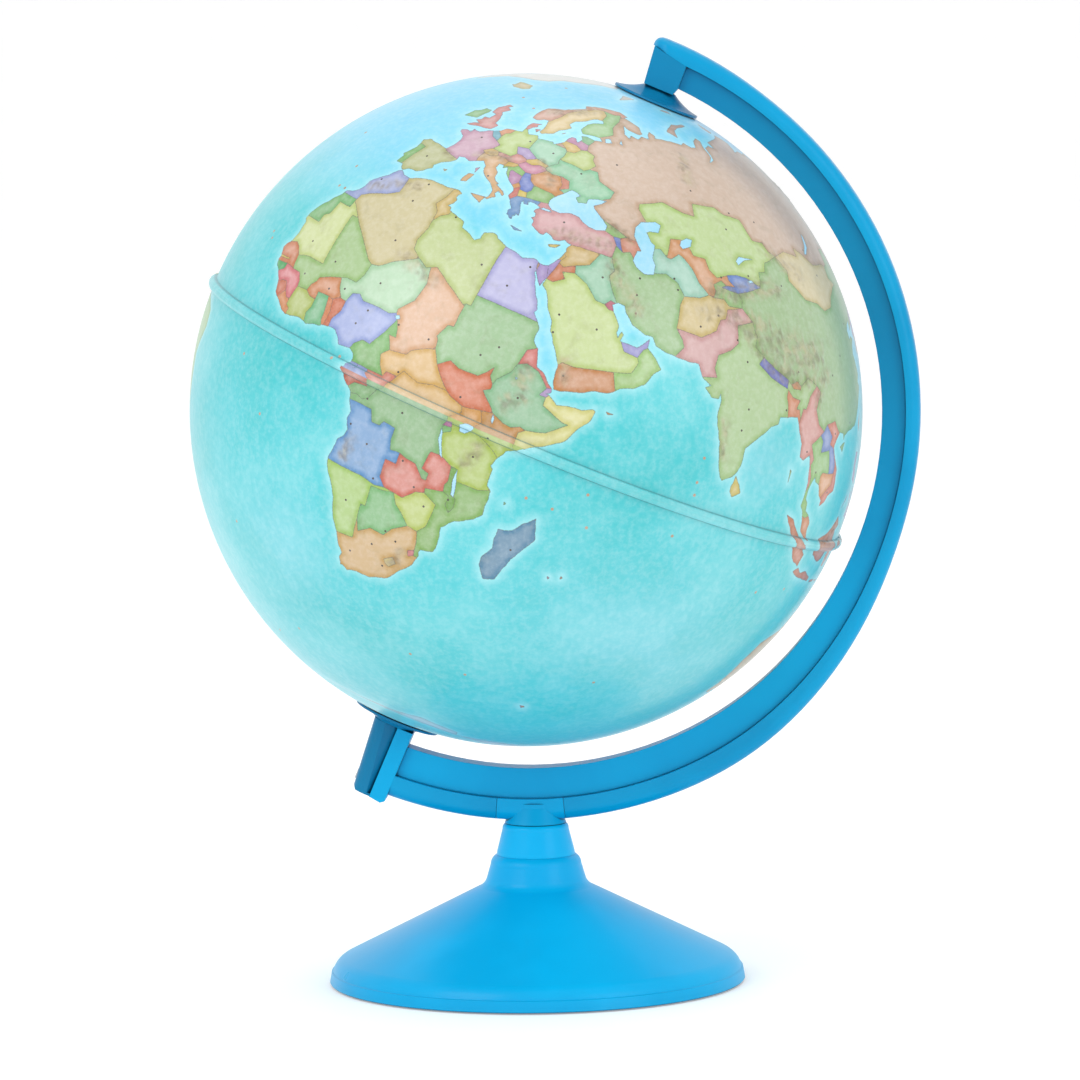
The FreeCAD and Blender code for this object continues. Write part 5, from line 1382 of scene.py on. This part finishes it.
def dress_stand():
    """A material for every CAD node."""
    # The crease colour is painted shade, laid in the hollows where surfaces meet.
    blue = {"painted_crease_shade": "08405a", "specular": 0.14}
    painted(moulded("arm_blue", "009cd0", "02a6da", "028cbc", 0.36, 0.03, painted_shading=arm_painted_shade, **blue),
            "meridian_arm")
    painted(moulded("rim_blue", "0090c2", "029acc", "0280ae", 0.32, 0.05, **blue),
            "long_rim_cover", "short_rim_cover")
    painted(moulded("foot_blue", "02a6de", "04b0e8", "0298ca", 0.32, 0.04, painted_shading=foot_painted_shade, **blue),
            "foot_shell")
    painted(moulded("neck_blue", "02aee6", "04b8ee", "029ed2", 0.32, 0.04, **blue), "neck_sleeve")
    painted(moulded("cap_teal", "0a709c", "0e7aa8", "086088", 0.32, 0.06, **blue),
            "north_polar_cap", "south_polar_cap")
    painted(moulded("clip_teal", "08709a", "0c7aa6", "066084", 0.32, 0.06, **blue), "south_pivot_clip")
    painted(moulded("cover_matt", "0b7fae", "0f88b8", "076a94", 0.6, grain=900.0, depth=0.35),
            "bottom_cover")
    painted(moulded("nylon", "e9e7df", "f4f2ea", "d9d6cb", 0.48),
            "north_bushing", "south_bushing", "north_washer", "south_thrust_washer")
    painted(moulded("joining_band", "dfe6e6", "eef2f2", "cdd6d6", 0.45), "joining_ring")
    painted(moulded("cast_iron", "34363a", "44474b", "222428", 0.62, 0.1, grain=500.0, depth=0.5,
                    metallic=0.4), "ballast_plate")
    painted(moulded("rubber", "1c1c1e", "26262a", "111113", 0.75, grain=700.0, depth=0.4),
            "anti_slip_ring")
    painted(turned_metal("zinc_steel", "a9acb0", "c6c9cc", 0.3),
            "north_pivot_pin", "south_pivot_pin", "pivot_clip_screws", "base_washer", "base_bolt",
            "ballast_screws", "cover_screws")
    painted(turned_metal("brass", "c49a4a", "dbb668", 0.26), "threaded_insert")
    painted(moulded("ball_plastic", "d7e8ea", "e3f0f1", "c3d8da", 0.5),
            "north_hemisphere", "south_hemisphere")


# ---------------------------------------------------------------- floor, light, camera
FLAT_RADIUS = 4.5           # where the floor starts to rise, in metres
CURVE_RADIUS = 3.5
CURVE_STEPS = 8
CURVE_STEP_ANGLE = 10
FLOOR_RIM = (8.2, 6.0)      # the radius and height of the floor's outer edge
FLOOR_SIDES = 72
CAMERA_DISTANCE = 2.6
CAMERA_YAW, CAMERA_PITCH, CAMERA_ROLL = (math.radians(a) for a in (-4.0, 5.66, -0.79))
BALL_IN_FRAME = 0.3115      # the ball's radius as a share of the frame's width
BALL_OFFSET = (-0.01282, 0.12015)   # the ball's centre from the frame's centre, in frame widths


def backdrop():
    """A pale floor that rises to a bowl all round, so that no horizon shows."""
    material, tree, shader = new_material(
        "white_sweep", Roughness=0.7, Specular_IOR_Level=0.1,
        Emission_Color=(1, 1, 1, 1), Emission_Strength=0.28)
    place = node(tree, "TexCoord").outputs["Object"]
    speckle = noise_of(tree, place, 30.0, 3.0)
    colour = blended(tree, speckle, (0.80, 0.80, 0.80, 1), (0.84, 0.84, 0.84, 1))
    tree.links.new(colour, shader.inputs["Base Color"])
    profile = [(0.0, 0.0), (2.0, 0.0), (FLAT_RADIUS, 0.0)]
    for step in range(1, CURVE_STEPS + 1):
        turn = math.radians(step * CURVE_STEP_ANGLE)
        rise = CURVE_RADIUS * (1 - math.cos(turn))
        profile.append((FLAT_RADIUS + CURVE_RADIUS * math.sin(turn), rise))
    profile.append(FLOOR_RIM)
    points, faces = [], []
    for radius, height in profile:
        for k in range(FLOOR_SIDES):
            turn = 2 * math.pi * k / FLOOR_SIDES
            points.append((radius * math.cos(turn), radius * math.sin(turn), height))
    for row in range(len(profile) - 1):
        inner, outer = row * FLOOR_SIDES, (row + 1) * FLOOR_SIDES
        for k in range(FLOOR_SIDES):
            k2 = (k + 1) % FLOOR_SIDES
            faces.append([inner + k, inner + k2, outer + k2, outer + k])
    mesh = bpy.data.meshes.new("studio_floor")
    mesh.from_pydata(points, [], faces)
    mesh.polygons.foreach_set("use_smooth", np.ones(len(faces), bool))
    floor = bpy.data.objects.new("studio_floor", mesh)
    floor.data.materials.append(material)
    bpy.context.scene.collection.objects.link(floor)


def softbox(name, offset, size, power):
    """A rectangular lamp, placed from the ball's centre and turned to face it."""
    light = bpy.data.lights.new(name, "AREA")
    light.shape = "RECTANGLE"
    light.size, light.size_y = size
    light.energy = power
    lamp = bpy.data.objects.new(name, light)
    bpy.context.scene.collection.objects.link(lamp)
    lamp.location = Vector(CENTRE) + Vector(offset)
    lamp.rotation_mode = "QUATERNION"
    lamp.rotation_quaternion = (-Vector(offset)).to_track_quat("-Z", "Y")


def studio_light():
    """Soft white light from all round, with three large lamps."""
    world = bpy.data.worlds.new("studio")
    bpy.context.scene.world = world
    world.use_nodes = True
    sky = world.node_tree.nodes["Background"]
    sky.inputs["Color"].default_value = (1.0, 1.0, 1.0, 1)
    sky.inputs["Strength"].default_value = 0.75
    softbox("key", (-1.3, -1.5, 1.4), (1.4, 1.4), 17)
    softbox("fill", (1.6, -1.3, 0.7), (1.0, 1.4), 7)
    softbox("top", (0.2, 0.3, 1.9), (1.6, 1.6), 9)
    bpy.context.scene.view_settings.view_transform = "Standard"


def photo_camera():
    """A camera at the photograph's angle, with the ball in the photograph's place in the frame."""
    sin_p, cos_p = math.sin(CAMERA_PITCH), math.cos(CAMERA_PITCH)
    forward = Vector((math.sin(CAMERA_YAW) * cos_p, math.cos(CAMERA_YAW) * cos_p, -sin_p))
    level = Vector((math.cos(CAMERA_YAW), -math.sin(CAMERA_YAW), 0))
    upright = level.cross(forward)
    across = level * math.cos(CAMERA_ROLL) + upright * math.sin(CAMERA_ROLL)
    up = upright * math.cos(CAMERA_ROLL) - level * math.sin(CAMERA_ROLL)
    focal = BALL_IN_FRAME * math.sqrt(CAMERA_DISTANCE ** 2 - BALL_RADIUS ** 2) / BALL_RADIUS
    ray = across * BALL_OFFSET[0] / focal + up * BALL_OFFSET[1] / focal + forward
    data = bpy.data.cameras.new("photo_camera")
    data.sensor_width = 36.0
    data.lens = focal * data.sensor_width
    data.clip_end = 50.0
    camera = bpy.data.objects.new("photo_camera", data)
    bpy.context.scene.collection.objects.link(camera)
    place = Vector(CENTRE) - ray.normalized() * CAMERA_DISTANCE
    turn = Matrix((across, up, -forward)).transposed()
    camera.matrix_world = Matrix.Translation(place) @ turn.to_4x4()
    bpy.context.scene.camera = camera


# ---------------------------------------------------------------- the whole scene
def build_ball():
    """Both printed halves, in place of the two plain CAD hemispheres."""
    lines = map_lines()
    trees = line_tree(lines, (COAST, BORDER, LAKE)), line_tree(lines, (COAST, LAKE))
    chains = range_samples()
    material = map_material()
    for name, node_name, side in (("north_map_shell", "north_hemisphere", 1),
                                  ("south_map_shell", "south_hemisphere", -1)):
        piece = hemisphere(name, side, lines, trees, chains)
        piece.data.materials.append(material)
        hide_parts(node_name)


dress_stand()
build_ball()
backdrop()
studio_light()
photo_camera()
